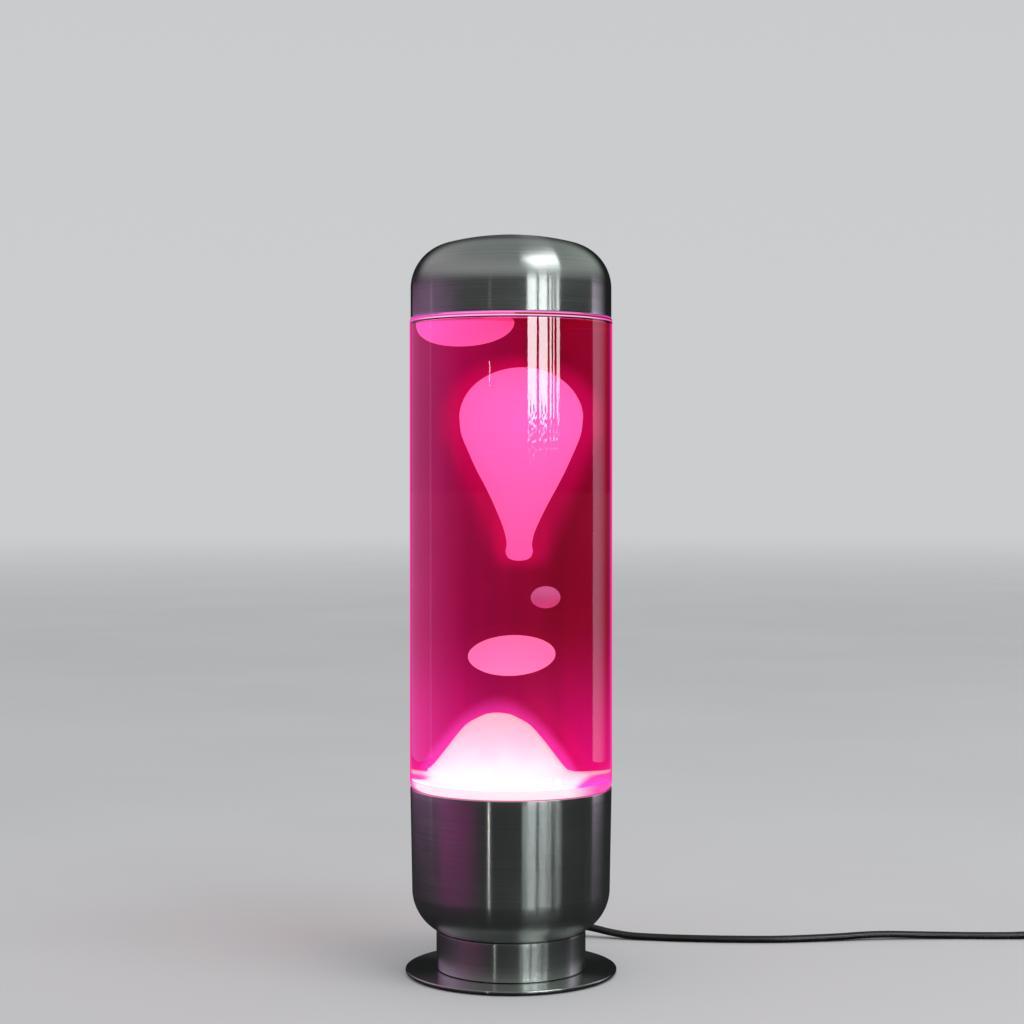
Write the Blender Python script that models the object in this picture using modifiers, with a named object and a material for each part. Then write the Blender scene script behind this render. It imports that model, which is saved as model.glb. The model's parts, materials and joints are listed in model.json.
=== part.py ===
"""A lava lamp: a glass cylinder of liquid and wax on a spun steel base, with its mains lead.

Every length below is in millimetres and is turned into metres where an object is made.
The origin is the middle of the pad's underside, +Z points up, and the lead leaves at the back, +Y.
"""

import math

import bmesh
import bpy
from mathutils import Matrix, Vector

MM = 0.001
GAP = 0.3  # clearance between pieces that touch

# Facets round a turned piece.
ROUND_BIG = 32
ROUND_MID = 18
ROUND_SMALL = 10
ROUND_BLOB = 16

# Foot: a pad, a thin disc and the collar that stands on it.
PAD_RADIUS = 50.8
PAD_TOP = 1.0
DISC_RADIUS = 52.3
DISC_BOTTOM = 1.2
DISC_TOP = 2.5
COLLAR_RADIUS = 37.0
COLLAR_WALL = 1.0
COLLAR_BOTTOM = 2.9
COLLAR_TOP = 21.6

# The bowl and the cap are the same spun form: a wall, a round corner and a shallow crown.
CORNER_RADIUS = 22.7
CROWN_DEPTH = 26.2  # from the corner's centre to the crown's middle
SHEET = 1.0
BOWL_RIM_RADIUS = 49.9
BOWL_WALL_RADIUS = 49.0
BOWL_RIM_Z = 92.0
BOWL_CORNER_Z = 42.0
BOWL_HOLE_RADIUS = 15.0
CAP_RADIUS = 49.6
CAP_RIM_Z = 323.8
CAP_CORNER_Z = 338.3

# Glass vessel and what fills it.
GLASS_RADIUS = 50.1
GLASS_WALL = 3.0
GLASS_BOTTOM = 91.4
GLASS_FLOOR = 95.4
GLASS_TOP = 323.6
HEEL_RADIUS = 4.0
NECK_RADIUS = 15.0
NECK_BORE = 12.0
NECK_TOP = 350.0
LIP_RADIUS = 16.5
LIQUID_TOP = 320.4
LIQUID_RADIUS = GLASS_RADIUS - GLASS_WALL - GAP
MOUND_PEAK = 130.0
MOUND_SHIFT = -4.7  # how far the mound stands to the left
MOUND_FOOT = 97.3  # the mound's skirt ends here, and its shift begins
MOUND_BLEND = 4.0  # height over which the shift comes in
BALLOON_X = 3.8
BEAD_X = 12.9
BEAD_Z = 186.4
BEAD_RADIUS = 5.6
LENS_X = 0.3
LENS_Z = 158.1
LENS_RADIUS = 16.4
LENS_HALF_HEIGHT = 10.1
POOL_X = -20.5
POOL_Y = -14.0
POOL_RADIUS = 19.4
POOL_DEPTH = 11.7
POOL_STRETCH = (1.13, 0.82)  # the pool is wider than it is deep from front to back
CHANNEL_X = 11.0
HEAT_RING_RADIUS = 20.0
HEAT_WIRE = 1.2  # radius of the heat ring's wire

# Screws, posts and holder, all round the lamp's axis.
POST_CIRCLE = 24.0
POST_ANGLES = (30.0, 150.0, 270.0)
POST_TOP = 17.1
SHANK_RADIUS = 1.8
SCREW_HOLE = 2.2
BRACKET_BOTTOM = 20.4
BRACKET_TOP = 21.6
BRACKET_RADIUS = 28.0
HOLDER_RADIUS = 13.5
HOLDER_BOTTOM = 6.0
HOLDER_TOP = 43.2
HOLDER_FLOOR = 17.2
HOLDER_BORE = 8.0

# Flat twin lead, drawn here as a round cord of its thickness.
CORD_RADIUS = 1.6
CORD_REST = 1.7  # height of its middle where it lies on the table
EXIT_Z = 12.0
RELIEF_END = 60.0
SWITCH_X = 335.0
SWITCH_Y = 75.0
SWITCH_LENGTH = 60.0
SWITCH_WIDTH = 24.0
SWITCH_SEAM = 8.25
SWITCH_TOP = 17.0
ROCKER_PIVOT = 13.8
ROCKER_TILT = 8.0  # degrees either side of level; it rests tipped one way
COIL_X = 420.0
COIL_Y = 38.4
COIL_INNER = 22.2
COIL_OUTER = 39.8
COIL_TOP = 10.6
COIL_END_X = 400.5  # where the straight lead meets the coil
COIL_LANE = 36.6  # radius of the turn that the lead joins
PLUG_X = 384.0  # the end of the plug that the lead enters
PLUG_Z = 7.0
PLUG_LENGTH = 37.0
PIN_SPACING = 18.6

parts = None
cutters = None
materials = {}


def start():
    """Empties the scene and makes the two collections."""
    for old in list(bpy.data.objects):
        bpy.data.objects.remove(old, do_unlink=True)
    made = []
    for name in ("lava_lamp", "cutters"):
        collection = bpy.data.collections.new(name)
        bpy.context.scene.collection.children.link(collection)
        made.append(collection)
    return made


def material(name, colour, roughness, metallic=0.0, alpha=1.0):
    made = bpy.data.materials.new(name)
    made.use_nodes = True
    shader = made.node_tree.nodes["Principled BSDF"]
    shader.inputs["Base Color"].default_value = (*colour, 1.0)
    shader.inputs["Roughness"].default_value = roughness
    shader.inputs["Metallic"].default_value = metallic
    shader.inputs["Alpha"].default_value = alpha
    materials[name] = made


def place(obj, finish):
    """Puts an object in its collection; without a finish it is a cutter."""
    if finish is None:
        cutters.objects.link(obj)
        obj.hide_render = True
        obj.display_type = "WIRE"
    else:
        parts.objects.link(obj)
        obj.data.materials.append(materials[finish])
    return obj


def arc(centre, radius, first, last, count):
    """Points on a circle in the (radius, height) plane, from one angle in degrees to another."""
    points = []
    for i in range(count + 1):
        angle = math.radians(first + (last - first) * i / count)
        points.append((centre[0] + radius * math.cos(angle), centre[1] + radius * math.sin(angle)))
    return points


def through(controls, steps):
    """A smooth curve through every control point, with so many steps to each stretch."""
    controls = [Vector(c) for c in controls]
    padded = [2 * controls[0] - controls[1], *controls, 2 * controls[-1] - controls[-2]]
    points = []
    for i in range(1, len(padded) - 2):
        before, here, ahead, beyond = padded[i - 1 : i + 3]
        for k in range(steps):
            t = k / steps
            points.append(
                here
                + 0.5 * t * (ahead - before)
                + t * t * (before - 2.5 * here + 2 * ahead - 0.5 * beyond)
                + t * t * t * (1.5 * here - 0.5 * before - 1.5 * ahead + 0.5 * beyond)
            )
    return [*points, controls[-1]]


def turned(name, profile, finish, facets=ROUND_BIG, closed=True):
    """Turns a profile round the Z axis. The profile runs down its outer side."""
    mesh = bpy.data.meshes.new(name)
    count = len(profile)
    edges = [(i, i + 1) for i in range(count - 1)]
    if closed:
        edges.append((count - 1, 0))
    mesh.from_pydata([(r * MM, 0, z * MM) for r, z in profile], edges, [])
    obj = bpy.data.objects.new(name, mesh)
    screw = obj.modifiers.new("Turn", "SCREW")
    screw.steps = facets
    screw.render_steps = facets
    screw.use_merge_vertices = True
    screw.merge_threshold = 0.00001
    screw.use_smooth_shade = True
    return place(obj, finish)


def lathe(name, profile, finish, facets=ROUND_MID):
    """A turned solid whose profile starts and ends on the axis."""
    return turned(name, profile, finish, facets, closed=False)


def ring(name, inner, outer, bottom, top, finish, facets=ROUND_BIG):
    corners = [(outer, top), (outer, bottom), (inner, bottom), (inner, top)]
    return turned(name, corners, finish, facets)


def rod(name, radius, bottom, top, finish, facets=ROUND_SMALL):
    corners = [(0, top), (radius, top), (radius, bottom), (0, bottom)]
    return lathe(name, corners, finish, facets)


def block(name, size, centre, finish, rounding=0.0):
    """A box of a size, round one point, with its edges rounded."""
    mesh = bpy.data.meshes.new(name)
    shape = bmesh.new()
    bmesh.ops.create_cube(shape, size=1.0)
    bmesh.ops.scale(shape, vec=Vector(size) * MM, verts=shape.verts)
    shape.to_mesh(mesh)
    shape.free()
    obj = bpy.data.objects.new(name, mesh)
    obj.location = Vector(centre) * MM
    if rounding:
        bevel = obj.modifiers.new("Rounding", "BEVEL")
        bevel.width = rounding * MM
        bevel.segments = 2
        bevel.limit_method = "ANGLE"
    return place(obj, finish)


def tube(name, points, radius, finish, resolution=2):
    """A round cord or wire along a line of points."""
    curve = bpy.data.curves.new(name, "CURVE")
    curve.dimensions = "3D"
    curve.bevel_depth = radius * MM
    curve.bevel_resolution = resolution
    curve.use_fill_caps = True
    spline = curve.splines.new("POLY")
    spline.points.add(len(points) - 1)
    for target, point in zip(spline.points, points, strict=True):
        target.co = (*(Vector(point) * MM), 1.0)
    return place(bpy.data.objects.new(name, curve), finish)


def plate(name, outline, thickness, finish):
    """A flat outline in XY made into a closed mesh of a thickness, level with z 0."""
    curve = bpy.data.curves.new(name, "CURVE")
    curve.dimensions = "2D"
    curve.fill_mode = "BOTH"
    curve.extrude = thickness / 2 * MM
    spline = curve.splines.new("POLY")
    spline.points.add(len(outline) - 1)
    for target, (x, y) in zip(spline.points, outline, strict=True):
        target.co = (x * MM, y * MM, 0.0, 1.0)
    spline.use_cyclic_u = True
    draft = bpy.data.objects.new(name, curve)
    cutters.objects.link(draft)
    evaluated = draft.evaluated_get(bpy.context.evaluated_depsgraph_get())
    mesh = bpy.data.meshes.new_from_object(evaluated)
    bpy.data.objects.remove(draft, do_unlink=True)
    shape = bmesh.new()
    shape.from_mesh(mesh)
    bmesh.ops.remove_doubles(shape, verts=shape.verts, dist=0.000001)
    shape.to_mesh(mesh)
    shape.free()
    mesh.materials.clear()
    return place(bpy.data.objects.new(name, mesh), finish)


def cut(obj, *tools):
    for tool in tools:
        boolean = obj.modifiers.new("Cut " + tool.name, "BOOLEAN")
        boolean.operation = "DIFFERENCE"
        boolean.object = tool
    return obj


def at(obj, x, y, z=0.0):
    obj.location = Vector((x, y, z)) * MM
    return obj


def facing(obj, direction, point):
    """Turns an object's own Z axis along a direction and puts its origin on a point."""
    turn = Vector(direction).to_track_quat("Z", "Y").to_matrix().to_4x4()
    obj.matrix_world = Matrix.Translation(Vector(point) * MM) @ turn
    return obj


def around(angle):
    angle = math.radians(angle)
    return POST_CIRCLE * math.cos(angle), POST_CIRCLE * math.sin(angle)


def spun_form(rim_radius, rim_height, wall_radius, thickness, hole):
    """Half a section of a spun cup, from its rim to its middle.

    Heights are counted up from the corner's centre, and the crown lies below it. A thickness moves
    the whole form inwards.
    """
    bend = wall_radius - CORNER_RADIUS
    flatness = CROWN_DEPTH - CORNER_RADIUS
    reach = (bend * bend + flatness * flatness) / (2 * flatness)
    end = -math.degrees(math.acos(bend / reach))
    crown_radius = reach + CORNER_RADIUS - thickness
    crown_centre = reach + CORNER_RADIUS - CROWN_DEPTH
    points = [(rim_radius - thickness, rim_height)]
    points += arc((bend, 0.0), CORNER_RADIUS - thickness, 0.0, end, 5)
    last = -math.degrees(math.acos(hole / crown_radius))
    points += arc((0.0, crown_centre), crown_radius, end, last, 2)[1:]
    return points


def material_set():
    material("brushed_steel", (0.55, 0.56, 0.55), 0.32, 1.0)
    material("foot_rubber", (0.02, 0.02, 0.02), 0.8)
    material("clear_glass", (0.95, 0.97, 0.98), 0.03, 0.0, 0.3)
    material("dyed_liquid", (0.7, 0.02, 0.3), 0.05, 0.0, 0.5)
    material("pink_wax", (1.0, 0.35, 0.7), 0.4)
    material("hot_wax", (1.0, 0.85, 0.95), 0.4)
    material("zinc_steel", (0.6, 0.6, 0.58), 0.35, 1.0)
    material("brass", (0.75, 0.58, 0.28), 0.3, 1.0)
    material("white_plastic", (0.85, 0.85, 0.83), 0.5)
    material("black_plastic", (0.03, 0.03, 0.03), 0.4)
    material("silicone", (0.7, 0.7, 0.7), 0.6)
    material("bulb_glass", (0.9, 0.9, 0.88), 0.2)
    material("black_glass", (0.02, 0.02, 0.03), 0.2)
    material("tungsten", (0.4, 0.4, 0.42), 0.5, 1.0)
    material("cord_sheath", (0.03, 0.03, 0.03), 0.5)
    material("live_sheath", (0.35, 0.15, 0.06), 0.5)
    material("neutral_sheath", (0.05, 0.2, 0.6), 0.5)


def foot():
    """Pad, disc with three countersunk holes, and the collar with the lead's hole."""
    rod("foot_pad", PAD_RADIUS, 0.0, PAD_TOP, "foot_rubber", ROUND_BIG)
    chamfer = 0.25
    edge = [
        (0, DISC_TOP),
        (DISC_RADIUS - chamfer, DISC_TOP),
        (DISC_RADIUS, DISC_TOP - chamfer),
        (DISC_RADIUS, DISC_BOTTOM + chamfer),
        (DISC_RADIUS - chamfer, DISC_BOTTOM),
        (0, DISC_BOTTOM),
    ]
    disc = lathe("foot_disc", edge, "brushed_steel", ROUND_BIG)
    slope = DISC_TOP - DISC_BOTTOM
    for number, angle in enumerate(POST_ANGLES, 1):
        sink = [
            (0, DISC_TOP + 1),
            (SCREW_HOLE, DISC_TOP + 1),
            (SCREW_HOLE, DISC_TOP),
            (SCREW_HOLE + slope + 1, DISC_BOTTOM - 1),
            (0, DISC_BOTTOM - 1),
        ]
        cut(disc, at(lathe(f"sink_{number}", sink, None, ROUND_SMALL), *around(angle)))
    inner = COLLAR_RADIUS - COLLAR_WALL
    wall = [
        (COLLAR_RADIUS, COLLAR_TOP),
        (COLLAR_RADIUS, COLLAR_BOTTOM),
        (inner, COLLAR_BOTTOM),
        (inner, COLLAR_TOP - 0.5),
    ]
    collar = turned("collar", wall, "brushed_steel")
    hole = rod("lead_hole", 4.8, -6.0, 6.0, None, ROUND_SMALL)
    cut(collar, facing(hole, (0, 1, 0), (0, COLLAR_RADIUS, EXIT_Z)))


def bowl_and_cap():
    height = BOWL_RIM_Z - BOWL_CORNER_Z
    outer = spun_form(BOWL_RIM_RADIUS, height, BOWL_WALL_RADIUS, 0.0, BOWL_HOLE_RADIUS)
    inner = spun_form(BOWL_RIM_RADIUS, height, BOWL_WALL_RADIUS, SHEET, BOWL_HOLE_RADIUS)
    section = [(r, z + BOWL_CORNER_Z) for r, z in outer + inner[::-1]]
    bowl = turned("base_bowl", section, "brushed_steel")
    for number, angle in enumerate(POST_ANGLES, 1):
        hole = rod(f"bowl_hole_{number}", SCREW_HOLE, POST_TOP - 2, BRACKET_BOTTOM, None)
        cut(bowl, at(hole, *around(angle)))
    height = CAP_CORNER_Z - CAP_RIM_Z
    outer = spun_form(CAP_RADIUS, height, CAP_RADIUS, 0.0, 0.0)
    inner = spun_form(CAP_RADIUS, height, CAP_RADIUS, SHEET, 0.0)
    section = [(r, CAP_CORNER_Z - z) for r, z in outer[::-1] + inner]
    section[0] = (0.0, section[0][1])
    section[-1] = (0.0, section[-1][1])
    lathe("top_cap", section, "brushed_steel", ROUND_BIG)
    hub = [(26.0, 360.2), (26.0, 358.8), (20.4, 358.8), (20.4, 338.0), (18.6, 338.0), (18.6, 360.2)]
    turned("cap_liner", hub, "white_plastic", ROUND_MID)


def fasteners():
    """Three spacer posts, each with a countersunk screw from below and a pan screw from above."""
    head_top = BRACKET_TOP + GAP + 2.2
    pan = [
        (0, head_top),
        (2.4, head_top - 0.2),
        (3.6, head_top - 1.2),
        (3.6, BRACKET_TOP + GAP),
        (SHANK_RADIUS, BRACKET_TOP + GAP),
        (SHANK_RADIUS, 10.0),
        (0, 10.0),
    ]
    slope = DISC_TOP - DISC_BOTTOM
    flat_head = [
        (0, 9.0),
        (SHANK_RADIUS, 9.0),
        (SHANK_RADIUS, DISC_TOP),
        (SHANK_RADIUS + slope, DISC_BOTTOM),
        (0, DISC_BOTTOM),
    ]
    for number, angle in enumerate(POST_ANGLES, 1):
        spot = around(angle)
        post = ring(f"spacer_post_{number}", 2.1, 3.5, DISC_TOP + GAP, POST_TOP, "zinc_steel", ROUND_SMALL)
        at(post, *spot)
        at(lathe(f"foot_screw_{number}", flat_head, "zinc_steel", ROUND_SMALL), *spot)
        at(lathe(f"bowl_screw_{number}", pan, "zinc_steel", ROUND_SMALL), *spot)


def lampholder():
    """A small Edison holder that hangs in a bracket on the bowl's floor."""
    levels = (BRACKET_BOTTOM, BRACKET_TOP)
    bracket = ring("holder_bracket", 14.2, BRACKET_RADIUS, *levels, "zinc_steel", ROUND_MID)
    for number, angle in enumerate(POST_ANGLES, 1):
        hole = rod(f"bracket_hole_{number}", SCREW_HOLE, BRACKET_BOTTOM - 1, BRACKET_TOP + 1, None)
        cut(bracket, at(hole, *around(angle)))
    flange = BRACKET_TOP + GAP
    body = [
        (HOLDER_RADIUS, HOLDER_TOP),
        (HOLDER_RADIUS, flange + 2),
        (17.2, flange + 2),
        (17.2, flange),
        (HOLDER_RADIUS, flange),
        (HOLDER_RADIUS, HOLDER_BOTTOM),
        (10.5, HOLDER_BOTTOM),
        (10.5, HOLDER_FLOOR - 3.5),
        (0, HOLDER_FLOOR - 3.5),
    ]
    inside = [(0, HOLDER_FLOOR), (HOLDER_BORE, HOLDER_FLOOR), (HOLDER_BORE, HOLDER_TOP)]
    lathe("lampholder_body", inside + body, "white_plastic")
    ring("holder_nut", HOLDER_RADIUS + GAP, 17.5, 18.5, BRACKET_BOTTOM - GAP, "white_plastic", ROUND_MID)
    ring("lampholder_shell", 7.3, 7.7, 20.5, 42.0, "brass", ROUND_MID)
    block("lampholder_contact", (9.0, 4.0, 0.8), (0, 0, HOLDER_FLOOR + GAP + 0.4), "brass")


def bulb():
    """Reflector bulb with a small screw cap. Its height is counted from the end contact."""
    foot_z = 18.7
    rod("bulb_contact", 2.2, foot_z, foot_z + 1.2, "brass")
    cone = [(0, 22.4), (5.6, 22.4), (3.4, 20.2), (0, 20.2)]
    lathe("bulb_insulator", cone, "black_glass", ROUND_MID)
    ring("bulb_cap", 6.5, 6.9, 22.8, 42.6, "zinc_steel", ROUND_MID)
    wall = 0.8
    outer = [(6.2, 30.0), (6.2, 42.9), (8.6, 46.5), (13.5, 53.0), (17.2, 60.0), (19.3, 68.0)]
    outer += arc((15.5, 70.8), 4.0, -10.0, 70.0, 3)
    outer.append((0.0, 79.0 + foot_z - 12.8))
    shell = [(r - wall, z) for r, z in outer[:-1]]
    shell = [(min(r, 18.5), min(z, 73.9)) for r, z in shell]
    shell.append((0.0, outer[-1][1] - wall))
    lathe("bulb_envelope", outer[::-1] + shell, "bulb_glass", ROUND_MID)
    stem = [(0, 46.0), (2.4, 45.0), (2.8, 31.0), (0, 31.0)]
    lathe("bulb_stem", stem, "bulb_glass", ROUND_SMALL)
    legs = [(-1.5, 0, 46.4), (-4.0, 0, 52.0), (-6.0, 0, 58.0), (-3.0, 1.2, 59.0)]
    legs += [(0.0, 1.6, 59.3), (3.0, 1.2, 59.0), (6.0, 0, 58.0), (4.0, 0, 52.0), (1.5, 0, 46.4)]
    tube("bulb_filament", legs, 0.35, "tungsten", 1)


def seat():
    ring("seat_ring", 42.8, 48.3, 84.0, 87.7, "black_plastic")
    lip = [(46.4, 91.1), (47.2, 90.0), (47.2, 88.0), (44.0, 88.0), (44.0, 90.0), (44.8, 91.1)]
    turned("seat_gasket", lip, "silicone")


def vessel():
    """Glass vessel with a shoulder and a neck that the cap hides, and its crown stopper."""
    inner_radius = GLASS_RADIUS - GLASS_WALL
    inner_top = GLASS_TOP - 2.4
    inside = [(0.0, GLASS_FLOOR)]
    inside += arc((inner_radius - 3.0, GLASS_FLOOR + 3.0), 3.0, -90.0, 0.0, 2)
    inside += [(inner_radius, inner_top - 0.4), (inner_radius - 0.8, inner_top)]
    inside += [(30.0, inner_top + 2.8), (NECK_BORE + 4.0, 327.5), (NECK_BORE, 331.5)]
    inside += [(NECK_BORE, NECK_TOP)]
    outside = [(LIP_RADIUS - 1.0, NECK_TOP), (LIP_RADIUS, NECK_TOP - 1.0)]
    outside += [(LIP_RADIUS, NECK_TOP - 3.5)]
    outside += [(NECK_RADIUS, NECK_TOP - 5.0), (NECK_RADIUS, 333.5), (NECK_RADIUS + 4.0, 329.5)]
    outside += [(31.0, GLASS_TOP + 2.8)]
    outside += arc((GLASS_RADIUS - 2.6, GLASS_TOP - 2.6), 2.6, 90.0, 0.0, 3)
    heel = (GLASS_RADIUS - HEEL_RADIUS, GLASS_BOTTOM + HEEL_RADIUS)
    outside += arc(heel, HEEL_RADIUS, 0.0, -90.0, 3)
    outside += [(0.0, GLASS_BOTTOM)]
    lathe("glass_vessel", inside + outside, "clear_glass", ROUND_BIG)
    crown = [(0, 352.3), (16.5, 352.3), (18.2, 350.8), (18.2, 343.5), (17.0, 343.5)]
    crown += [(17.0, 351.3), (0, 351.3)]
    lathe("vessel_stopper", crown, "zinc_steel")
    rod("stopper_liner", 15.5, NECK_TOP + GAP, 351.0, "silicone", ROUND_MID)


def swollen(profile, by):
    """A profile moved outwards by a distance, along the mean of each point's two sides."""
    moved = []
    for i, (r, z) in enumerate(profile):
        before = Vector(profile[max(i - 1, 0)])
        after = Vector(profile[min(i + 1, len(profile) - 1)])
        along = (after - before).normalized()
        on_axis = r == 0.0
        moved.append((0.0 if on_axis else r - along.y * by, z + along.x * by))
    return moved


def balloon_profile():
    """A drop hanging upside down: round top, long taper, short neck and a blunt end."""
    controls = [(22.9, 275.0), (19.6, 258.4), (13.6, 240.5), (7.3, 224.7), (4.8, 213.0), (4.9, 208.0)]
    dome = [(22.9 * math.sin(a), 275.0 + 24.0 * math.cos(a)) for a in (i * math.pi / 10 for i in range(5))]
    return dome + [tuple(p) for p in through(controls, 1)] + [(3.4, 205.5), (0.0, 204.6)]


def ellipse_profile(radius, half_height, middle, count=8):
    """The right half of an ellipse, from its top to its bottom."""
    points = []
    for i in range(count + 1):
        angle = math.pi * i / count
        points.append((radius * math.sin(angle), middle + half_height * math.cos(angle)))
    return [(0.0, points[0][1]), *points[1:-1], (0.0, points[-1][1])]


def pool_profile(top=0.0):
    """A blob that hangs under the liquid's surface."""
    count = 6
    points = [(0.0, LIQUID_TOP + top)]
    if top:
        points.append((POOL_RADIUS, LIQUID_TOP + top))
    for i in range(count):
        angle = math.pi / 2 * i / count
        points.append((POOL_RADIUS * math.cos(angle), LIQUID_TOP - POOL_DEPTH * math.sin(angle)))
    return [*points, (0.0, LIQUID_TOP - POOL_DEPTH)]


def mound_surface():
    """The mound's upper surface, from its peak out to the glass: a hill on a thin skirt."""
    surface = [(0.0, MOUND_PEAK), (6.0, 128.4), (11.5, 124.3), (16.2, 117.4), (21.4, 108.5)]
    surface += [(26.0, 101.3), (31.5, 98.7), (37.0, 97.4), (45.6, 96.9)]
    return surface


def slide(obj, limit):
    """Moves what lies within a radius to the side, from the mound's skirt up to its peak."""
    evaluated = obj.evaluated_get(bpy.context.evaluated_depsgraph_get())
    mesh = bpy.data.meshes.new_from_object(evaluated)
    obj.modifiers.clear()
    obj.data = mesh
    for vertex in mesh.vertices:
        height = vertex.co.z / MM
        near = math.hypot(vertex.co.x, vertex.co.y) < limit * MM
        if near and MOUND_FOOT < height < MOUND_PEAK + 2 * GAP:
            share = min((height - MOUND_FOOT) / MOUND_BLEND, 1.0)
            vertex.co.x += MOUND_SHIFT * share * MM
    mesh.shade_smooth()
    mesh.set_sharp_from_angle(angle=math.radians(40))
    return obj


def wax_and_liquid():
    """Five bodies of wax and the liquid round them.

    The liquid's hollows are joined by one thin upright channel, so none of them is sealed.
    """
    bead = ellipse_profile(BEAD_RADIUS, BEAD_RADIUS, BEAD_Z)
    lens = ellipse_profile(LENS_RADIUS, LENS_HALF_HEIGHT, LENS_Z)
    blobs = {
        "wax_balloon": (balloon_profile(), BALLOON_X, 0.0),
        "wax_bead": (bead, BEAD_X, 0.0),
        "wax_lens": (lens, LENS_X, 0.0),
        "wax_pool": (pool_profile(), POOL_X, POOL_Y),
    }
    surface = mound_surface()
    floor = GLASS_FLOOR + GAP
    mound = lathe("wax_mound", [*surface, (44.0, floor), (0.0, floor)], "hot_wax", 24)
    slide(mound, LIQUID_RADIUS)
    wire_ring("heat_ring", HEAT_WIRE, floor + HEAT_WIRE, "zinc_steel")
    cut(mound, wire_ring("heat_ring_groove", HEAT_WIRE + GAP, floor + HEAT_WIRE, None))

    bottom = swollen(surface, GAP)
    bottom[0] = (0.0, MOUND_PEAK + GAP)
    corner = [(LIQUID_RADIUS, LIQUID_TOP), (LIQUID_RADIUS, 98.8), (46.3, 97.6)]
    liquid = lathe("dyed_liquid", [(0.0, LIQUID_TOP), *corner, *bottom[::-1]], "dyed_liquid", ROUND_BIG)
    slide(liquid, LIQUID_RADIUS - 1.0)
    for name, (profile, x, y) in blobs.items():
        blob = at(lathe(name, profile, "pink_wax", ROUND_BLOB), x, y)
        room_profile = swollen(profile if name != "wax_pool" else pool_profile(2.0), GAP)
        room = at(lathe("room_for_" + name, room_profile, None, ROUND_BLOB), x, y)
        cut(liquid, room)
        if name == "wax_pool":
            blob.scale = (*POOL_STRETCH, 1.0)
            room.scale = (*POOL_STRETCH, 1.0)
    channel = rod("channel", 0.8, LENS_Z, LIQUID_TOP + 1.0, None, 8)
    cut(liquid, at(channel, CHANNEL_X, 0.0))


def wire_ring(name, radius, height, finish):
    """A wire bent into a ring that lies flat."""
    section = arc((HEAT_RING_RADIUS, height), radius, 90.0, -270.0, 6)[:-1]
    return turned(name, section, finish, 24)


def lead_in():
    """Strain relief in the collar, and the two leads inside that reach the holder."""
    bore = CORD_RADIUS + GAP
    out = EXIT_Z
    relief = [
        (2.7, RELIEF_END),
        (4.4, 39.4),
        (6.2, 39.4),
        (6.2, 37.4),
        (4.3, 37.4),
        (4.3, 35.0),
        (6.0, 35.0),
        (6.0, 33.0),
        (bore, 33.0),
        (bore, RELIEF_END),
    ]
    relief = [(r, RELIEF_END - y) for r, y in relief[::-1]]
    made = turned("strain_relief", relief, "black_plastic", ROUND_SMALL)
    facing(made, (0, -1, 0), (0, RELIEF_END, out))
    for name, side in (("lead_live", 1), ("lead_neutral", -1)):
        route = [(1.7, 22.8, 10.5), (2.4, 19.0, 6.8), (3.4, 14.0, 4.5), (4.2, 9.0, 4.5)]
        route += [(4.5, 6.0, 6.5), (4.5, 5.0, 11.0)]
        path = [(side * x, y, z) for x, y, z in through(route, 2)]
        tube(name, path, 0.9, name.replace("lead_", "") + "_sheath", 1)


def cord():
    """The lead: to the switch, on to the coil, the coil's outer shape, and on to the plug."""
    to_switch = [(0, 24, EXIT_Z), (0, 42, EXIT_Z), (0, 61, EXIT_Z)]
    to_switch += [(1.6, 69, 11.2), (6.6, 77, 9.8), (14.5, 81.8, 8.4), (24, 83, 7.1), (34, 81.6, 6.0)]
    to_switch += [(43.6, 79, 4.9), (53, 76.3, 3.2), (63, 73.8, 2.0), (76, 71.2, 1.7), (91, 68.6, 1.7)]
    to_switch += [(115, 66.4, 1.7), (142, 66.2, 1.7), (170, 69.8, 2.0), (196, 73.8, 2.6), (226, 75.4, 1.9)]
    to_switch += [(256, 75, 1.7), (276, SWITCH_Y, 2.3), (290, SWITCH_Y, 5.2), (303, SWITCH_Y, 8.1)]
    to_switch += [(313, SWITCH_Y, SWITCH_SEAM)]
    tube("cord_to_switch", through(to_switch, 2), CORD_RADIUS, "cord_sheath")
    to_coil = [(357, SWITCH_Y, SWITCH_SEAM), (366, SWITCH_Y, 8.2), (378, SWITCH_Y, 5.4)]
    to_coil += [(390, SWITCH_Y, 2.3), (COIL_END_X, SWITCH_Y, CORD_REST)]
    tube("cord_to_coil", through(to_coil, 2), CORD_RADIUS, "cord_sheath")
    chamfer = 2.0
    section = [
        (COIL_OUTER - chamfer, COIL_TOP),
        (COIL_OUTER, COIL_TOP - chamfer),
        (COIL_OUTER, 0.1 + chamfer),
        (COIL_OUTER - chamfer, 0.1),
        (COIL_INNER + chamfer, 0.1),
        (COIL_INNER, 0.1 + chamfer),
        (COIL_INNER, COIL_TOP - chamfer),
        (COIL_INNER + chamfer, COIL_TOP),
    ]
    at(turned("cord_coil", section, "cord_sheath", ROUND_MID), COIL_X, COIL_Y)
    plug_y = COIL_Y - COIL_LANE
    tail = [(COIL_END_X, plug_y, 8.4), (395, plug_y, 8.2), (389, plug_y, 7.3)]
    tail += [(PLUG_X + GAP, plug_y, PLUG_Z)]
    tube("cord_to_plug", through(tail, 2), CORD_RADIUS, "cord_sheath")


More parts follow.
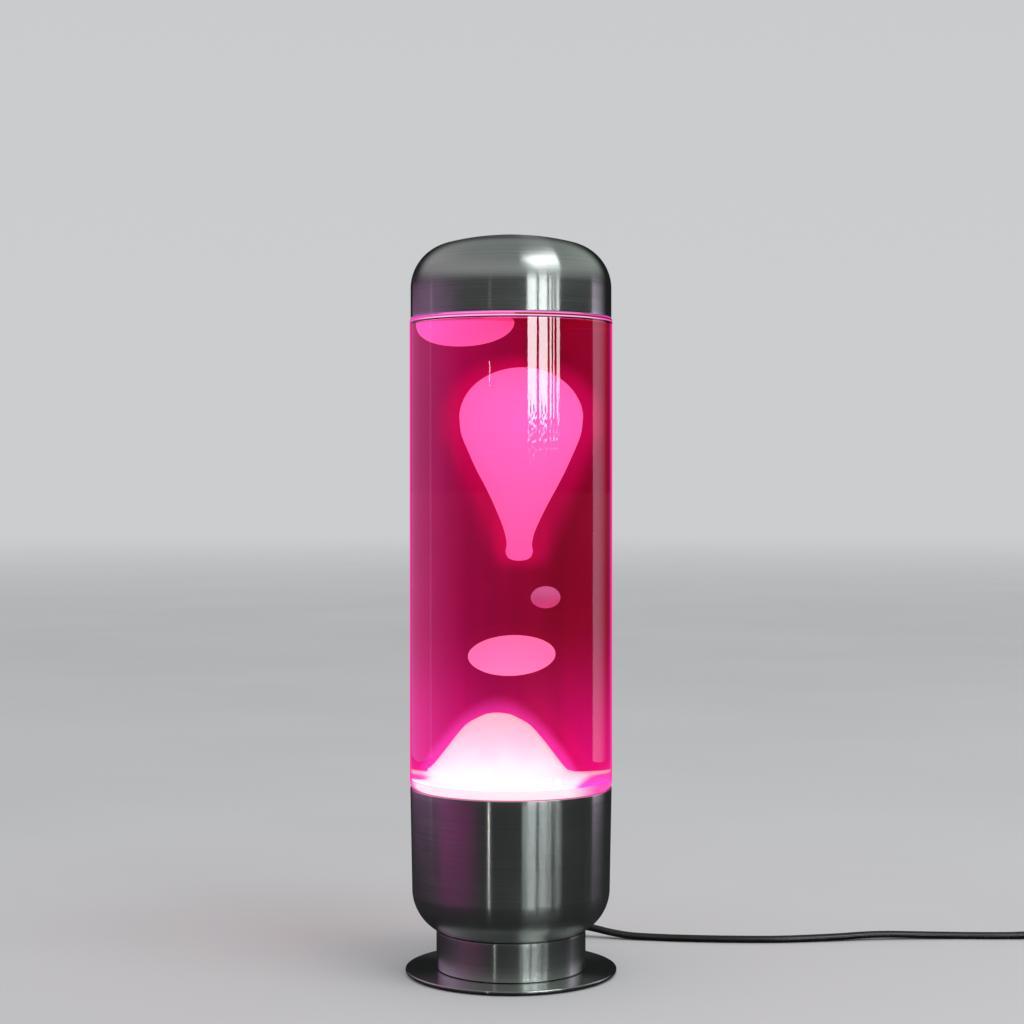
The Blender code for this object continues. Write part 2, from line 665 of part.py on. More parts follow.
def in_line_switch():
    """Two shells screwed together round the lead, with a rocker that tips on a pin."""
    half_gap = GAP / 2
    bottom_height = SWITCH_SEAM - half_gap - 0.1
    middle = 0.1 + bottom_height / 2
    size = (SWITCH_LENGTH, SWITCH_WIDTH, bottom_height)
    bottom = block("switch_bottom", size, (SWITCH_X, SWITCH_Y, middle), "black_plastic", 1.2)
    top_height = SWITCH_TOP - SWITCH_SEAM - half_gap
    middle = SWITCH_TOP - top_height / 2
    size = (SWITCH_LENGTH, SWITCH_WIDTH, top_height)
    top = block("switch_top", size, (SWITCH_X, SWITCH_Y, middle), "black_plastic", 1.2)
    cavity = block("switch_cavity", (40, 18, 13.3), (SWITCH_X, SWITCH_Y, 8.55), None)
    window = block("switch_window", (20.6, 10.6, 6), (SWITCH_X, SWITCH_Y, SWITCH_TOP), None)
    cut(bottom, cavity)
    cut(top, cavity, window)
    for number, side in enumerate((-1, 1), 1):
        entry = rod(f"switch_entry_{number}", CORD_RADIUS + 0.7, -7.0, 7.0, None)
        facing(entry, (1, 0, 0), (SWITCH_X + side * 25.0, SWITCH_Y, SWITCH_SEAM))
        shank_hole = rod(f"switch_screw_hole_{number}", 1.5, 0.0, 13.0, None)
        head_hole = rod(f"switch_head_hole_{number}", 2.8, -1.0, 2.2, None)
        screw_head = [(0, 13.0 - GAP), (1.2, 13.0 - GAP), (1.2, 1.9), (2.4, 1.9), (2.4, 0.5), (0, 0.5)]
        screw = lathe(f"switch_screw_{number}", screw_head, "zinc_steel", ROUND_SMALL)
        for piece in (shank_hole, head_hole, screw):
            at(piece, SWITCH_X + side * 25.0, SWITCH_Y + side * 7.6)
        cut(bottom, entry, shank_hole, head_hole)
        cut(top, entry, shank_hole)
        contact = (SWITCH_X + side * 10.0, SWITCH_Y, 3.0)
        block(f"switch_contact_{number}", (12.0, 5.0, 1.0), contact, "brass")
    outline = [(-9.4, -3.0), (9.4, -3.0), (9.4, 4.6), (0.0, 3.6), (-9.4, 4.6)]
    rocker = plate("switch_rocker", outline, 10.0, "black_plastic")
    pivot = Vector((SWITCH_X, SWITCH_Y, ROCKER_PIVOT))
    stand = Matrix.Rotation(math.radians(90), 4, "X")
    tip = Matrix.Rotation(math.radians(ROCKER_TILT), 4, "Y")
    rocker.matrix_world = Matrix.Translation(pivot * MM) @ tip @ stand
    bore = facing(rod("rocker_bore", 1.3, -8.0, 8.0, None), (0, 1, 0), pivot)
    cut(rocker, bore)
    facing(rod("switch_pin", 1.0, -8.7, 8.7, "zinc_steel"), (0, 1, 0), pivot)


def plug():
    """A flat two-pin plug that lies on its side, with its pins held in two blind holes."""
    plug_y = COIL_Y - COIL_LANE
    outline = [
        (PLUG_X, plug_y - 5.0),
        (PLUG_X, plug_y + 5.0),
        (PLUG_X - 14.0, plug_y + 12.5),
        (PLUG_X - 24.0, plug_y + 17.6),
        (PLUG_X - PLUG_LENGTH, plug_y + 17.6),
        (PLUG_X - PLUG_LENGTH, plug_y - 17.6),
        (PLUG_X - 24.0, plug_y - 17.6),
        (PLUG_X - 14.0, plug_y - 12.5),
    ]
    body = plate("plug_body", outline, 13.7, "black_plastic")
    body.location.z = PLUG_Z * MM
    face = PLUG_X - PLUG_LENGTH
    for number, side in enumerate((-1, 1), 1):
        centre = plug_y + side * PIN_SPACING / 2
        hole = rod(f"pin_hole_{number}", 2.3, -1.0, 8.0, None)
        cut(body, facing(hole, (1, 0, 0), (face, centre, PLUG_Z)))
        pin = [(0, 7.7), (2.0, 7.7), (2.0, -18.0), (1.2, -19.0), (0, -19.0)]
        facing(lathe(f"plug_pin_{number}", pin, "brass", ROUND_SMALL), (1, 0, 0), (face, centre, PLUG_Z))


parts, cutters = start()
material_set()
foot()
bowl_and_cap()
fasteners()
lampholder()
bulb()
seat()
vessel()
wax_and_liquid()
lead_in()
cord()
in_line_switch()
plug()
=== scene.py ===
"""The finished looks of a lava lamp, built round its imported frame.

Lengths are in millimetres, as in the part's own source, and turn into metres where a mesh is made.
Places inside a finish, and the studio's, are in metres. Most sizes are read from the frame; the ones
named here are shapes that a box can't tell.
"""

import json
import math

import bmesh
import bpy
from mathutils import Matrix, Vector, noise


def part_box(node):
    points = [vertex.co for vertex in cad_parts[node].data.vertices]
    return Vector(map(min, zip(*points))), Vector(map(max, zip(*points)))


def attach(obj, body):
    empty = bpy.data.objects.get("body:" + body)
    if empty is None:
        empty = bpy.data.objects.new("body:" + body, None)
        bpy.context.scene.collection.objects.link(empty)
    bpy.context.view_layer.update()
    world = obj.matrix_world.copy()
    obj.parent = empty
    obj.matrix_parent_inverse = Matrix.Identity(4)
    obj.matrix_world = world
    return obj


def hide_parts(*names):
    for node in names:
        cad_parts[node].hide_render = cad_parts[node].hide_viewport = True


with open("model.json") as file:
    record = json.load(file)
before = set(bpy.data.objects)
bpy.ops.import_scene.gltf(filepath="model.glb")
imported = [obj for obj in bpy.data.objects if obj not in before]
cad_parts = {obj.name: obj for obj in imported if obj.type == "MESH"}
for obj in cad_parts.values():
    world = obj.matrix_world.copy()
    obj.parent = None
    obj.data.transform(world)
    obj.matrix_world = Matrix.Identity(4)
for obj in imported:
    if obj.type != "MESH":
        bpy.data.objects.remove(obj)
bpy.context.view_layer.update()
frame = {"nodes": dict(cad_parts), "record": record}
record = frame["record"]

MM = 0.001
BODY_OF = {node: body for body, nodes in record["behaviour"]["bodies"].items() for node in nodes}

# Steps round a turned piece.
ROUND_BIG = 192
ROUND_MID = 96
ROUND_SMALL = 40
EDGE_ANGLE = 35.0  # in degrees; a sharper fold shows as an edge

# Spun steel: the bowl and the cap share one form.
CORNER_RADIUS = 22.7
CROWN_DEPTH = 26.2
SHEET = 1.0
BOWL_WALL_HEIGHT = 50.0
BOWL_DRAFT = 0.9  # the rim is wider than the wall's foot by this
BOWL_HOLE = 15.0

# Glass vessel and liquid.
GLASS_WALL = 3.0
GLASS_FLOOR_THICKNESS = 4.0
SHOULDER_Z = 323.6
NECK_RADIUS = 15.0
NECK_BORE = 12.0
LIP_RADIUS = 16.5
FLUTES = 21
LIQUID_CLEARANCE = 0.04
GLASS_IOR = 1.5
LIQUID_IOR = 1.333
LIQUID_DENSITY = 20.0
LIQUID_DYE = (0.64, 0.15, 0.12)  # what a unit of depth lets through
SIDE_TINT = (0.9, 0.13, 0.44)

# Wax.
MOUND_SHIFT = -4.7
MOUND_FOOT = 97.3
MOUND_BLEND = 4.0
BALLOON_X = 3.8
BALLOON_RADIUS = 22.9
BALLOON_SHOULDER = 275.0
BEAD_X = 12.9
BEAD_Z = 186.4
LENS_X = 0.3
LENS_Z = 158.1
LENS_RADIUS = 16.2
LENS_HALF_HEIGHT = 9.9
POOL = (-20.5, -14.0)
POOL_STRETCH = (1.13, 0.82)
POOL_RADIUS = 19.4
POOL_DEPTH = 11.7
WAX_SEED = 1  # for the noise that makes its skin a little uneven

# Flat twin lead: two round cores side by side.
CORE_RADIUS = 1.6
CORE_OFFSET = 1.1
CORD_REST = 1.7
EXIT_Z = 12.0
CORD_START_Y = 45.0
SWITCH_Y = 75.0
COIL_X = 420.0
COIL_Y = 38.4
COIL_LANES = (36.6, 31.0, 25.3, 25.3, 31.0, 36.6, 36.6)
COIL_LEVELS = (1.7, 1.7, 1.7, 5.1, 5.1, 5.1, 8.5)
COIL_TURNS = 6.5
COIL_STEPS = 90  # to each turn
LANE_CHANGE = 0.22  # the share of a turn in which the lead moves to its next lane
PLUG_Y = COIL_Y - COIL_LANES[0]

# In-line switch and plug.
SWITCH_CORNER = 7.0
SWITCH_ENTRY = 25.0  # from the middle to each lead entry and its screw
ROCKER_HALF = 9.4
ROCKER_TIP = 8.0  # in degrees
PIN_RADIUS = 2.0
SLEEVE_START = 10.1

# Studio, in metres and degrees.
CARD_DISTANCE = 0.42
WINDOW_DISTANCE = 2.0
BACKDROP = (0.60, 0.61, 0.62)

made = {}
noise.seed_set(WAX_SEED)


# ---------------------------------------------------------------- shapes


def low(node):
    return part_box(node)[0] / MM


def high(node):
    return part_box(node)[1] / MM


def span(node):
    """The low and high corners of a node's box, in millimetres."""
    return low(node), high(node)


def held(value):
    """A value kept from 0 to 1."""
    return min(max(value, 0.0), 1.0)


def keep(piece, finish, *nodes):
    """Gives a piece its finish and body, and lets it stand for some CAD nodes."""
    piece.data.materials.append(finishes[finish])
    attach(piece, BODY_OF[nodes[0]])
    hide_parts(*nodes)
    made[piece.name] = piece
    return piece


def finished(name, shape, sharp=EDGE_ANGLE):
    """A new object from a bmesh, smooth but for its sharp edges."""
    bmesh.ops.recalc_face_normals(shape, faces=shape.faces)
    mesh = bpy.data.meshes.new(name)
    shape.to_mesh(mesh)
    shape.free()
    mesh.shade_smooth()
    mesh.set_sharp_from_angle(angle=math.radians(sharp))
    piece = bpy.data.objects.new(name, mesh)
    bpy.context.scene.collection.objects.link(piece)
    return piece


def arc(centre, radius, first, last, count):
    points = []
    for i in range(count + 1):
        angle = math.radians(first + (last - first) * i / count)
        points.append((centre[0] + radius * math.cos(angle), centre[1] + radius * math.sin(angle)))
    return points


def through(controls, steps):
    """A smooth curve through every control point, with so many steps to each stretch."""
    controls = [Vector(c) for c in controls]
    padded = [2 * controls[0] - controls[1], *controls, 2 * controls[-1] - controls[-2]]
    points = []
    for i in range(1, len(padded) - 2):
        before, here, ahead, beyond = padded[i - 1 : i + 3]
        for k in range(steps):
            t = k / steps
            points.append(
                here
                + 0.5 * t * (ahead - before)
                + t * t * (before - 2.5 * here + 2 * ahead - 0.5 * beyond)
                + t * t * t * (1.5 * here - 0.5 * before - 1.5 * ahead + 0.5 * beyond)
            )
    return [*points, controls[-1]]


def curve(controls, steps):
    """A smooth outline through its control points, as plain points."""
    return [tuple(p) for p in through(controls, steps)]


def eased(outline, radius, closed=False, steps=5):
    """An outline whose sharp corners are rounded. A point may name its own radius as a third value."""
    points = [Vector(p[:2]) for p in outline]
    rounded = []
    for i, here in enumerate(points):
        if not closed and i in (0, len(points) - 1):
            rounded.append(tuple(here))
            continue
        back = points[i - 1] - here
        ahead = points[(i + 1) % len(points)] - here
        turn = math.pi - back.angle(ahead)
        own = outline[i][2] if len(outline[i]) > 2 else radius
        if turn < 0.4 and len(outline[i]) == 2:
            rounded.append(tuple(here))
            continue
        bite = min(own * math.tan(turn / 2), 0.46 * back.length, 0.46 * ahead.length)
        start = here + back.normalized() * bite
        end = here + ahead.normalized() * bite
        for k in range(steps + 1):
            t = k / steps
            rounded.append(tuple((1 - t) ** 2 * start + 2 * t * (1 - t) * here + t * t * end))
    return rounded


def bridge(shape, first, second):
    """Faces between two rings, either of which may be a single vertex."""
    count = max(len(first), len(second))
    for i in range(count):
        ahead = (i + 1) % count
        if len(first) == 1:
            corners = (first[0], second[ahead], second[i])
        elif len(second) == 1:
            corners = (first[i], first[ahead], second[0])
        else:
            corners = (first[i], first[ahead], second[ahead], second[i])
        shape.faces.new(corners)


def skin(name, sections, runs, closed=False, capped=False, sharp=EDGE_ANGLE):
    """A skin over sections, each one point or a closed ring of points, in millimetres.

    The attribute "run" holds how far each section lies along the piece, in metres, so that brushing
    can follow it.
    """
    shape = bmesh.new()
    run = shape.verts.layers.float.new("run")
    rings = []
    for section, travelled in zip(sections, runs, strict=True):
        ring = [shape.verts.new(Vector(p) * MM) for p in section]
        for vertex in ring:
            vertex[run] = travelled * MM
        rings.append(ring)
    pairs = list(zip(rings, rings[1:], strict=False))
    if closed:
        pairs.append((rings[-1], rings[0]))
    for first, second in pairs:
        bridge(shape, first, second)
    if capped:
        shape.faces.new(rings[0])
        shape.faces.new(rings[-1][::-1])
    return finished(name, shape, sharp)


def loft(name, sections, sharp=EDGE_ANGLE):
    """A skin over rings of points, with a flat cap at both ends."""
    return skin(name, sections, range(len(sections)), capped=True, sharp=sharp)


def lathe(name, outline, closed=False, segments=ROUND_BIG, centre=(0, 0), wobble=None, sharp=EDGE_ANGLE):
    """Turns an outline of (radius, height) points round an upright axis. wobble moves each point."""
    sections = []
    runs = []
    travelled = 0.0
    before = outline[0]
    for radius, height in outline:
        travelled += math.dist(before, (radius, height))
        before = (radius, height)
        section = []
        for i in range(segments if radius > 0.0001 else 1):
            turn = 2 * math.pi * i / segments
            spot = Vector((radius * math.cos(turn), radius * math.sin(turn), height))
            if wobble:
                spot = wobble(spot)
            section.append(spot + Vector((*centre, 0.0)))
        sections.append(section)
        runs.append(travelled)
    return skin(name, sections, runs, closed, sharp=sharp)


def turned(name, finish, node, outline, ease=0.4, ring=True, **how):
    """A lathed piece with eased corners that stands for a node. A ring's outline closes on itself."""
    return keep(lathe(name, eased(outline, ease, ring), ring, **how), finish, node)


def pushed(spot, shift):
    """A point moved outwards from the Z axis."""
    radius = math.hypot(spot.x, spot.y)
    return Vector((spot.x * (radius + shift) / radius, spot.y * (radius + shift) / radius, spot.z))


def rounded_rectangle(half_width, half_height, corner, steps=6):
    """Points of a rectangle with round corners, anticlockwise from its right side."""
    corner = min(corner, half_width * 0.999, half_height * 0.999)
    points = []
    for first, x, y in ((0, 1, 1), (90, -1, 1), (180, -1, -1), (270, 1, -1)):
        middle = (x * (half_width - corner), y * (half_height - corner))
        points += arc(middle, corner, first, first + 90, steps)
    return points


def cut(piece, tool):
    """Takes a tool away from a piece for good."""
    boolean = piece.modifiers.new("Cut", "BOOLEAN")
    boolean.operation = "DIFFERENCE"
    boolean.object = tool
    evaluated = piece.evaluated_get(bpy.context.evaluated_depsgraph_get())
    mesh = bpy.data.meshes.new_from_object(evaluated)
    piece.modifiers.clear()
    piece.data = mesh
    mesh.shade_smooth()
    mesh.set_sharp_from_angle(angle=math.radians(EDGE_ANGLE))
    bpy.data.objects.remove(tool, do_unlink=True)
    return piece


def post(name, radius, base, top, centre=(0.0, 0.0), segments=ROUND_SMALL):
    return lathe(name, [(0, top), (radius, top), (radius, base), (0, base)], False, segments, centre)


def box_tool(name, size, centre):
    shape = bmesh.new()
    bmesh.ops.create_cube(shape, size=1.0)
    bmesh.ops.scale(shape, vec=Vector(size) * MM, verts=shape.verts)
    bmesh.ops.translate(shape, vec=Vector(centre) * MM, verts=shape.verts)
    return finished(name, shape)


def turned_to(piece, direction, point):
    """Turns a piece made about the Z axis to a direction and carries it to a point, in its mesh."""
    turn = Vector(direction).to_track_quat("Z", "Y").to_matrix().to_4x4()
    piece.data.transform(Matrix.Translation(Vector(point) * MM) @ turn)
    return piece


def swept(name, path, section):
    """A flat lead along a path. The section is a list of (sideways, upwards) points."""
    sections = []
    for i, here in enumerate(path):
        ahead = path[min(i + 1, len(path) - 1)]
        before = path[max(i - 1, 0)]
        along = (ahead - before).normalized()
        side = along.cross(Vector((0, 0, 1))).normalized()
        up = side.cross(along)
        sections.append([here + side * x + up * y for x, y in section])
    return loft(name, sections, sharp=60)


# ---------------------------------------------------------------- finishes


class Wire:
    """One output of a node. Sums written with it become Math nodes in its tree."""

    def __init__(self, tree, socket):
        self.tree = tree
        self.socket = socket

    def maths(self, operation, other=0.0):
        return add(self.tree, "Math", {0: self, 1: other}, operation=operation)

    def __add__(self, other):
        return self.maths("ADD", other)

    def __sub__(self, other):
        return self.maths("SUBTRACT", other)

    def __mul__(self, other):
        return self.maths("MULTIPLY", other)

    def __truediv__(self, other):
        return self.maths("DIVIDE", other)

    def __pow__(self, other):
        return self.maths("POWER", other)

    def __abs__(self):
        return self.maths("ABSOLUTE")

    def __rsub__(self, other):
        return add(self.tree, "Math", {0: other, 1: self}, operation="SUBTRACT")


def add(tree, kind, inputs=None, pick=0, **settings):
    """A node with its settings and inputs, as a wire from the output picked. Wires are linked."""
    node = tree.nodes.new("ShaderNode" + kind)
    for key, value in settings.items():
        setattr(node, key, value)
    for key, value in (inputs or {}).items():
        socket = node.inputs[key]
        if isinstance(value, Wire):
            tree.links.new(value.socket, socket)
        else:
            socket.default_value = (*value, 1.0) if socket.type == "RGBA" else value
    return Wire(tree, node.outputs[pick])


def spread(value, low_in, high_in, low_out=0.0, high_out=1.0, curve_type="SMOOTHSTEP"):
    """Maps a value from one range to another, held at both ends, with soft ends."""
    inputs = {"Value": value, "From Min": low_in, "From Max": high_in, "To Min": low_out, "To Max": high_out}
    return add(value.tree, "MapRange", inputs, "Result", interpolation_type=curve_type)


def larger(*wires):
    most = wires[0]
    for wire in wires[1:]:
        most = most.maths("MAXIMUM", wire)
    return most


def blend(factor, first, second):
    """Two colours, mixed."""
    return add(factor.tree, "Mix", {0: factor, 6: first, 7: second}, 2, data_type="RGBA")


def grain(vector, scale=1.0, detail=2.0, roughness=0.5):
    inputs = {"Vector": vector, "Scale": scale, "Detail": detail, "Roughness": roughness}
    return add(vector.tree, "TexNoise", inputs, "Fac")


def stretched(vector, x, y, z):
    return add(vector.tree, "VectorMath", {0: vector, 1: (x, y, z)}, operation="MULTIPLY")


def length(vector):
    return add(vector.tree, "VectorMath", {0: vector}, "Value", operation="LENGTH")


def split(vector):
    """The x, y and z of a vector."""
    node = add(vector.tree, "SeparateXYZ", {0: vector}).socket.node
    return [Wire(vector.tree, output) for output in node.outputs]


def bump(height, strength, distance):
    return add(height.tree, "Bump", {"Height": height, "Strength": strength, "Distance": distance}, "Normal")


def facing_edge(tree):
    """Rises from 0, where a surface faces the eye, to 1 at its outline."""
    return add(tree, "LayerWeight", {"Blend": 0.5}, "Facing")


def begin(name):
    """A new material, its empty tree and the place of each point on the object, in metres."""
    finish = bpy.data.materials.new(name)
    finish.use_nodes = True
    finish.node_tree.nodes.clear()
    return finish, finish.node_tree, add(finish.node_tree, "TexCoord", None, "Object")


def output(tree, kind, **wires):
    """The end of a tree and what reaches its Surface and Volume."""
    end = tree.nodes.new("ShaderNodeOutput" + kind)
    for name, wire in wires.items():
        tree.links.new(wire.socket, end.inputs[name])


def solid(finish, inputs):
    """Closes a finish with the standard shader."""
    output(finish.node_tree, "Material", Surface=add(finish.node_tree, "BsdfPrincipled", inputs))
    return finish


def brushed(name, dark, light, roughness):
    """Steel brushed round the Z axis, with fine and coarse lines and faint handling marks."""
    finish, tree, where = begin(name)
    x, y, _ = split(where)
    run = add(tree, "Attribute", None, "Fac", attribute_name="run")
    along = add(tree, "CombineXYZ", {0: x, 1: y, 2: run * 90.0})
    fine = grain(stretched(along, 9, 9, 34))
    lines = fine * 0.7 + grain(stretched(along, 5, 5, 14), 1.0, 1.0) * 0.3
    worn = spread(grain(where, 34.0, 4.0), 0.35, 0.7, roughness - 0.015, roughness + 0.02)
    inputs = {
        "Base Color": blend(spread(lines, 0.3, 0.7), dark, light),
        "Metallic": 1.0,
        "Roughness": spread(lines, 0.3, 0.7, -0.01, 0.01) + worn,
        "Anisotropic": 1.0,
        "Anisotropic Rotation": 0.25,
        "Tangent": add(tree, "Tangent", direction_type="RADIAL", axis="Z"),
        "Normal": bump(fine, 0.02, 0.00001),
    }
    return solid(finish, inputs)


def moulded(name, dark, light, roughness, pitch=2600.0, depth=0.00004, coat=0.0):
    """Plastic or rubber with a fine moulded grain and slow change of tone."""
    finish, tree, where = begin(name)
    slow = grain(where, 60.0, 3.0)
    inputs = {
        "Base Color": blend(spread(slow, 0.3, 0.7), dark, light),
        "Roughness": spread(slow, 0.3, 0.7, roughness - 0.05, roughness + 0.05),
        "Coat Weight": coat,
        "Coat Roughness": 0.2,
        "Normal": bump(grain(where, pitch), 0.4, depth),
    }
    return solid(finish, inputs)


def metal(name, dark, light, roughness):
    """Plain plated or brass metal with faint stains."""
    finish, tree, where = begin(name)
    stains = grain(where, 220.0, 4.0)
    inputs = {
        "Base Color": blend(spread(stains, 0.35, 0.7), dark, light),
        "Metallic": 1.0,
        "Roughness": spread(stains, 0.3, 0.7, roughness - 0.06, roughness + 0.08),
        "Normal": bump(grain(stretched(where, 900, 900, 5000)), 0.2, 0.00002),
    }
    return solid(finish, inputs)


def letting_lamps_through(shader):
    """Shadow rays pass the shader, so that lamps light what is behind it."""
    lamp = add(shader.tree, "LightPath", None, "Is Shadow Ray")
    return add(shader.tree, "MixShader", {0: lamp, 1: shader, 2: add(shader.tree, "BsdfTransparent")})


def vessel_glass(name):
    """Clear glass with a painted glow in its edges: pink emission at the rim, the heel and the silhouette
    stands in for the wax's light carried in the glass.
    """
    finish, tree, where = begin(name)
    sideways, _, height = split(where)
    waves = bump(grain(stretched(where, 60, 60, 14), 1.0, 1.0), 0.25, 0.0004)
    inputs = {"Color": (1.0, 0.985, 0.99), "Roughness": 0.0, "IOR": GLASS_IOR, "Normal": waves}
    mirror = add(tree, "BsdfGlossy", {"Roughness": 0.0})
    glass = add(tree, "MixShader", {0: 0.04, 1: add(tree, "BsdfGlass", inputs), 2: mirror})

    # Painted glow: at the outline, and at the shoulder and the heel of the outer face.
    facing = facing_edge(tree)
    outside = spread(length(stretched(where, 1, 1, 0)), 0.0468, 0.0472)
    shoulder = spread(height, 0.3214, 0.3216, 0.0, 0.92)
    heel = spread(height, 0.0970, 0.0964, 0.0, 0.96)
    glow = larger(spread(facing, 0.74, 0.9, 0.0, 0.9), shoulder * outside, heel * outside)

    # Painted heel glow: pale pink in the middle, pink to the right and at the outline, deep pink at the very
    # bottom.
    side = larger(spread(sideways, 0.026, 0.043), spread(facing, 0.6, 0.85))
    painted_heel_glow = blend(side, (1.0, 0.86, 0.95), (1.0, 0.10, 0.5))
    painted_heel_glow = blend(spread(height, 0.0926, 0.0921), painted_heel_glow, (0.85, 0.03, 0.28))
    # Painted colour of the glow: bright lines at the rim and just under it, deeper crimson between them and
    # to the right.
    thin_line = spread(abs(height - 0.3219), 0.00016, 0.0004, 1.0, 0.0)
    rim = larger(spread(height, 0.3230, 0.3232), thin_line)
    deep = blend(spread(sideways, 0.001, 0.003), (0.9, 0.085, 0.37), (0.40, 0.004, 0.03))
    bright = blend(spread(facing, 0.3, 0.7), (1.0, 0.6, 0.88), (1.0, 0.14, 0.75))
    hue = blend(spread(height, 0.3205, 0.3208), (1.0, 0.05, 0.42), blend(rim, deep, bright))
    hue = blend(heel, hue, painted_heel_glow)

    # The painted glow shows on the near side only.
    near_side = 1.0 - add(tree, "NewGeometry", None, "Backfacing")
    pink = add(tree, "Emission", {"Color": hue, "Strength": 1.05})
    lit = add(tree, "MixShader", {0: glow * near_side, 1: glass, 2: pink})
    output(tree, "Material", Surface=letting_lamps_through(lit))
    return finish


def wetted_glass(name):
    """The inner face of the glass where the liquid touches it: it bends by the ratio of the two."""
    finish, tree, _ = begin(name)
    glass = add(tree, "BsdfGlass", {"Roughness": 0.0, "IOR": GLASS_IOR / LIQUID_IOR})
    output(tree, "Material", Surface=letting_lamps_through(glass))
    return finish


def past_axis(where, shift):
    """How near a line of sight through a point passes an upright axis, and at what height."""
    x, y, z = split(where)
    x = x - shift
    ray_x, ray_y, ray_z = split(add(where.tree, "NewGeometry", None, "Incoming"))
    flat = (ray_x**2.0 + ray_y**2.0).maths("MAXIMUM", 0.0001)
    aside = abs(x * ray_y - y * ray_x) / flat.maths("SQRT")
    return aside, z - (x * ray_x + y * ray_y) / flat * ray_z


def painted_halos(where, glow_colour):
    """Painted glow on the liquid's far side round the wax, standing in for its light in the liquid: magenta
    round the mound, crimson round the balloon.
    """
    aside, height = past_axis(where, MOUND_SHIFT * MM)
    fall = (aside * 1000.0) ** 1.9 * 0.0000583  # follows the mound's slope
    near = spread(height + fall, 0.140, 0.129, 0.0, 0.9)
    glow_colour = blend(near, glow_colour, (2.2, 1.2, 4.6))

    aside, height = past_axis(where, BALLOON_X * MM)
    radius = spread(height, 0.206, 0.268, 0.0045, 0.0232, "LINEAR")
    above = (height - BALLOON_SHOULDER * MM).maths("MAXIMUM", 0.0)
    away = (aside**2.0 + above**2.0).maths("SQRT") - radius
    near = spread(away, 0.010, 0.0, 0.0, 0.7) * spread(height, 0.198, 0.208)
    return blend(near, glow_colour, (1.4, 0.0, 0.9))


def dyed_depth(tree):
    """What the liquid absorbs over its depth."""
    return add(tree, "VolumeAbsorption", {"Color": LIQUID_DYE, "Density": LIQUID_DENSITY})


def liquid_side(name):
    """The liquid's side, which only tints, and its depth, which absorbs. Its far side has a painted glow:
    emission that stands in for the wax's light in the liquid, brighter low down, purpler on the left, with
    painted halos round the wax and a painted line at the waterline.
    """
    finish, tree, where = begin(name)
    sideways, _, height = split(where)
    # Painted glow colours: purpler on the left, brighter low down.
    purple = spread(sideways, 0.018, -0.026)
    upper = blend(purple, (0.48, 0.0, 0.18), (0.75, 0.06, 0.75))
    lower = blend(purple, (1.3, 0.06, 1.35), (1.4, 0.3, 2.1))
    colour = painted_halos(where, blend(spread(height, 0.175, 0.09), upper, lower))
    # A painted crimson line at the waterline.
    waterline = spread(height, 0.3204, 0.3206)
    colour = blend(waterline, colour, (2.0, 0.0, 0.6))
    # The painted glow's strength is uneven, and it shows on the far side only.
    uneven_glow = spread(grain(stretched(where, 70, 70, 6), 1.0, 3.0), 0.3, 0.7, 0.8, 1.15)
    strength = add(tree, "NewGeometry", None, "Backfacing") * uneven_glow
    glow = add(tree, "Emission", {"Color": colour, "Strength": strength})
    both = add(tree, "AddShader", {0: add(tree, "BsdfTransparent", {"Color": SIDE_TINT}), 1: glow})
    output(tree, "Material", Surface=both, Volume=dyed_depth(tree))
    return finish


def liquid_top(name):
    """The liquid's free surface, a mirror from below at a low angle."""
    finish, tree, _ = begin(name)
    glass = add(tree, "BsdfGlass", {"Color": (1.0, 0.5, 0.7), "Roughness": 0.0, "IOR": LIQUID_IOR})
    output(tree, "Material", Surface=letting_lamps_through(glass), Volume=dyed_depth(tree))
    return finish


def wax(finish, colour, light, normal):
    """Closes a finish as waxy skin whose light is painted in as emission."""
    inputs = {"Base Color": colour, "Roughness": 0.45, "Specular IOR Level": 0.15, "Normal": normal}
    return solid(finish, {**inputs, "Emission Color": light, "Emission Strength": 1.0})


def glowing_wax(name, foot, crown, rim, rim_share=0.6, low_band=(0.0, 1.0)):
    """Wax whose light from below is painted in as emission: it runs from the foot's colour to the crown's,
    with a painted highlight at its rim, where more light leaves it sideways."""
    finish, tree, where = begin(name)
    height = split(add(tree, "TexCoord", None, "Generated"))[2]
    mottle = grain(where, 90.0, 3.0)
    bloom = spread(mottle, 0.3, 0.7, -0.05, 0.05)
    body = blend(spread(height + bloom, *low_band), foot, crown)
    # Painted highlight at the rim.
    light = blend(spread(facing_edge(tree), 0.35, 1.0, 0.0, rim_share), body, rim)
    return wax(finish, (0.75, 0.32, 0.5), light, bump(mottle, 0.15, 0.0004))


def mound_painted_glow(name):
    """The mound's painted light: white over the bulb, pink at its outline, with a painted pink glow on its
    thin skirt on the glass.
    """
    finish, tree, where = begin(name)
    x, y, height = split(where)
    mottle = grain(where, 60.0, 4.0, 0.6)
    lift = height + spread(mottle, 0.3, 0.7, -0.003, 0.003)
    # Painted light, brightest low over the bulb, with a painted highlight at the outline.
    body = blend(spread(lift, 0.098, 0.126), (3.0, 12.0, 2.9), (1.9, 8.0, 2.3))
    light = blend(spread(facing_edge(tree), 0.55, 1.0, 0.0, 0.85), body, (1.7, 6.5, 2.15))
    # Painted pink glow on the skirt, to the right and at the back left.
    right = spread(x, 0.027, 0.033)
    left_back = spread(x, -0.030, -0.036) * spread(y, -0.012, -0.004)
    skirt = spread(height, 0.0993, 0.0986) * larger(right, left_back)
    light = blend(skirt, light, (1.0, 0.5, 1.0))
    return wax(finish, (0.8, 0.5, 0.6), light, bump(mottle, 0.2, 0.0006))


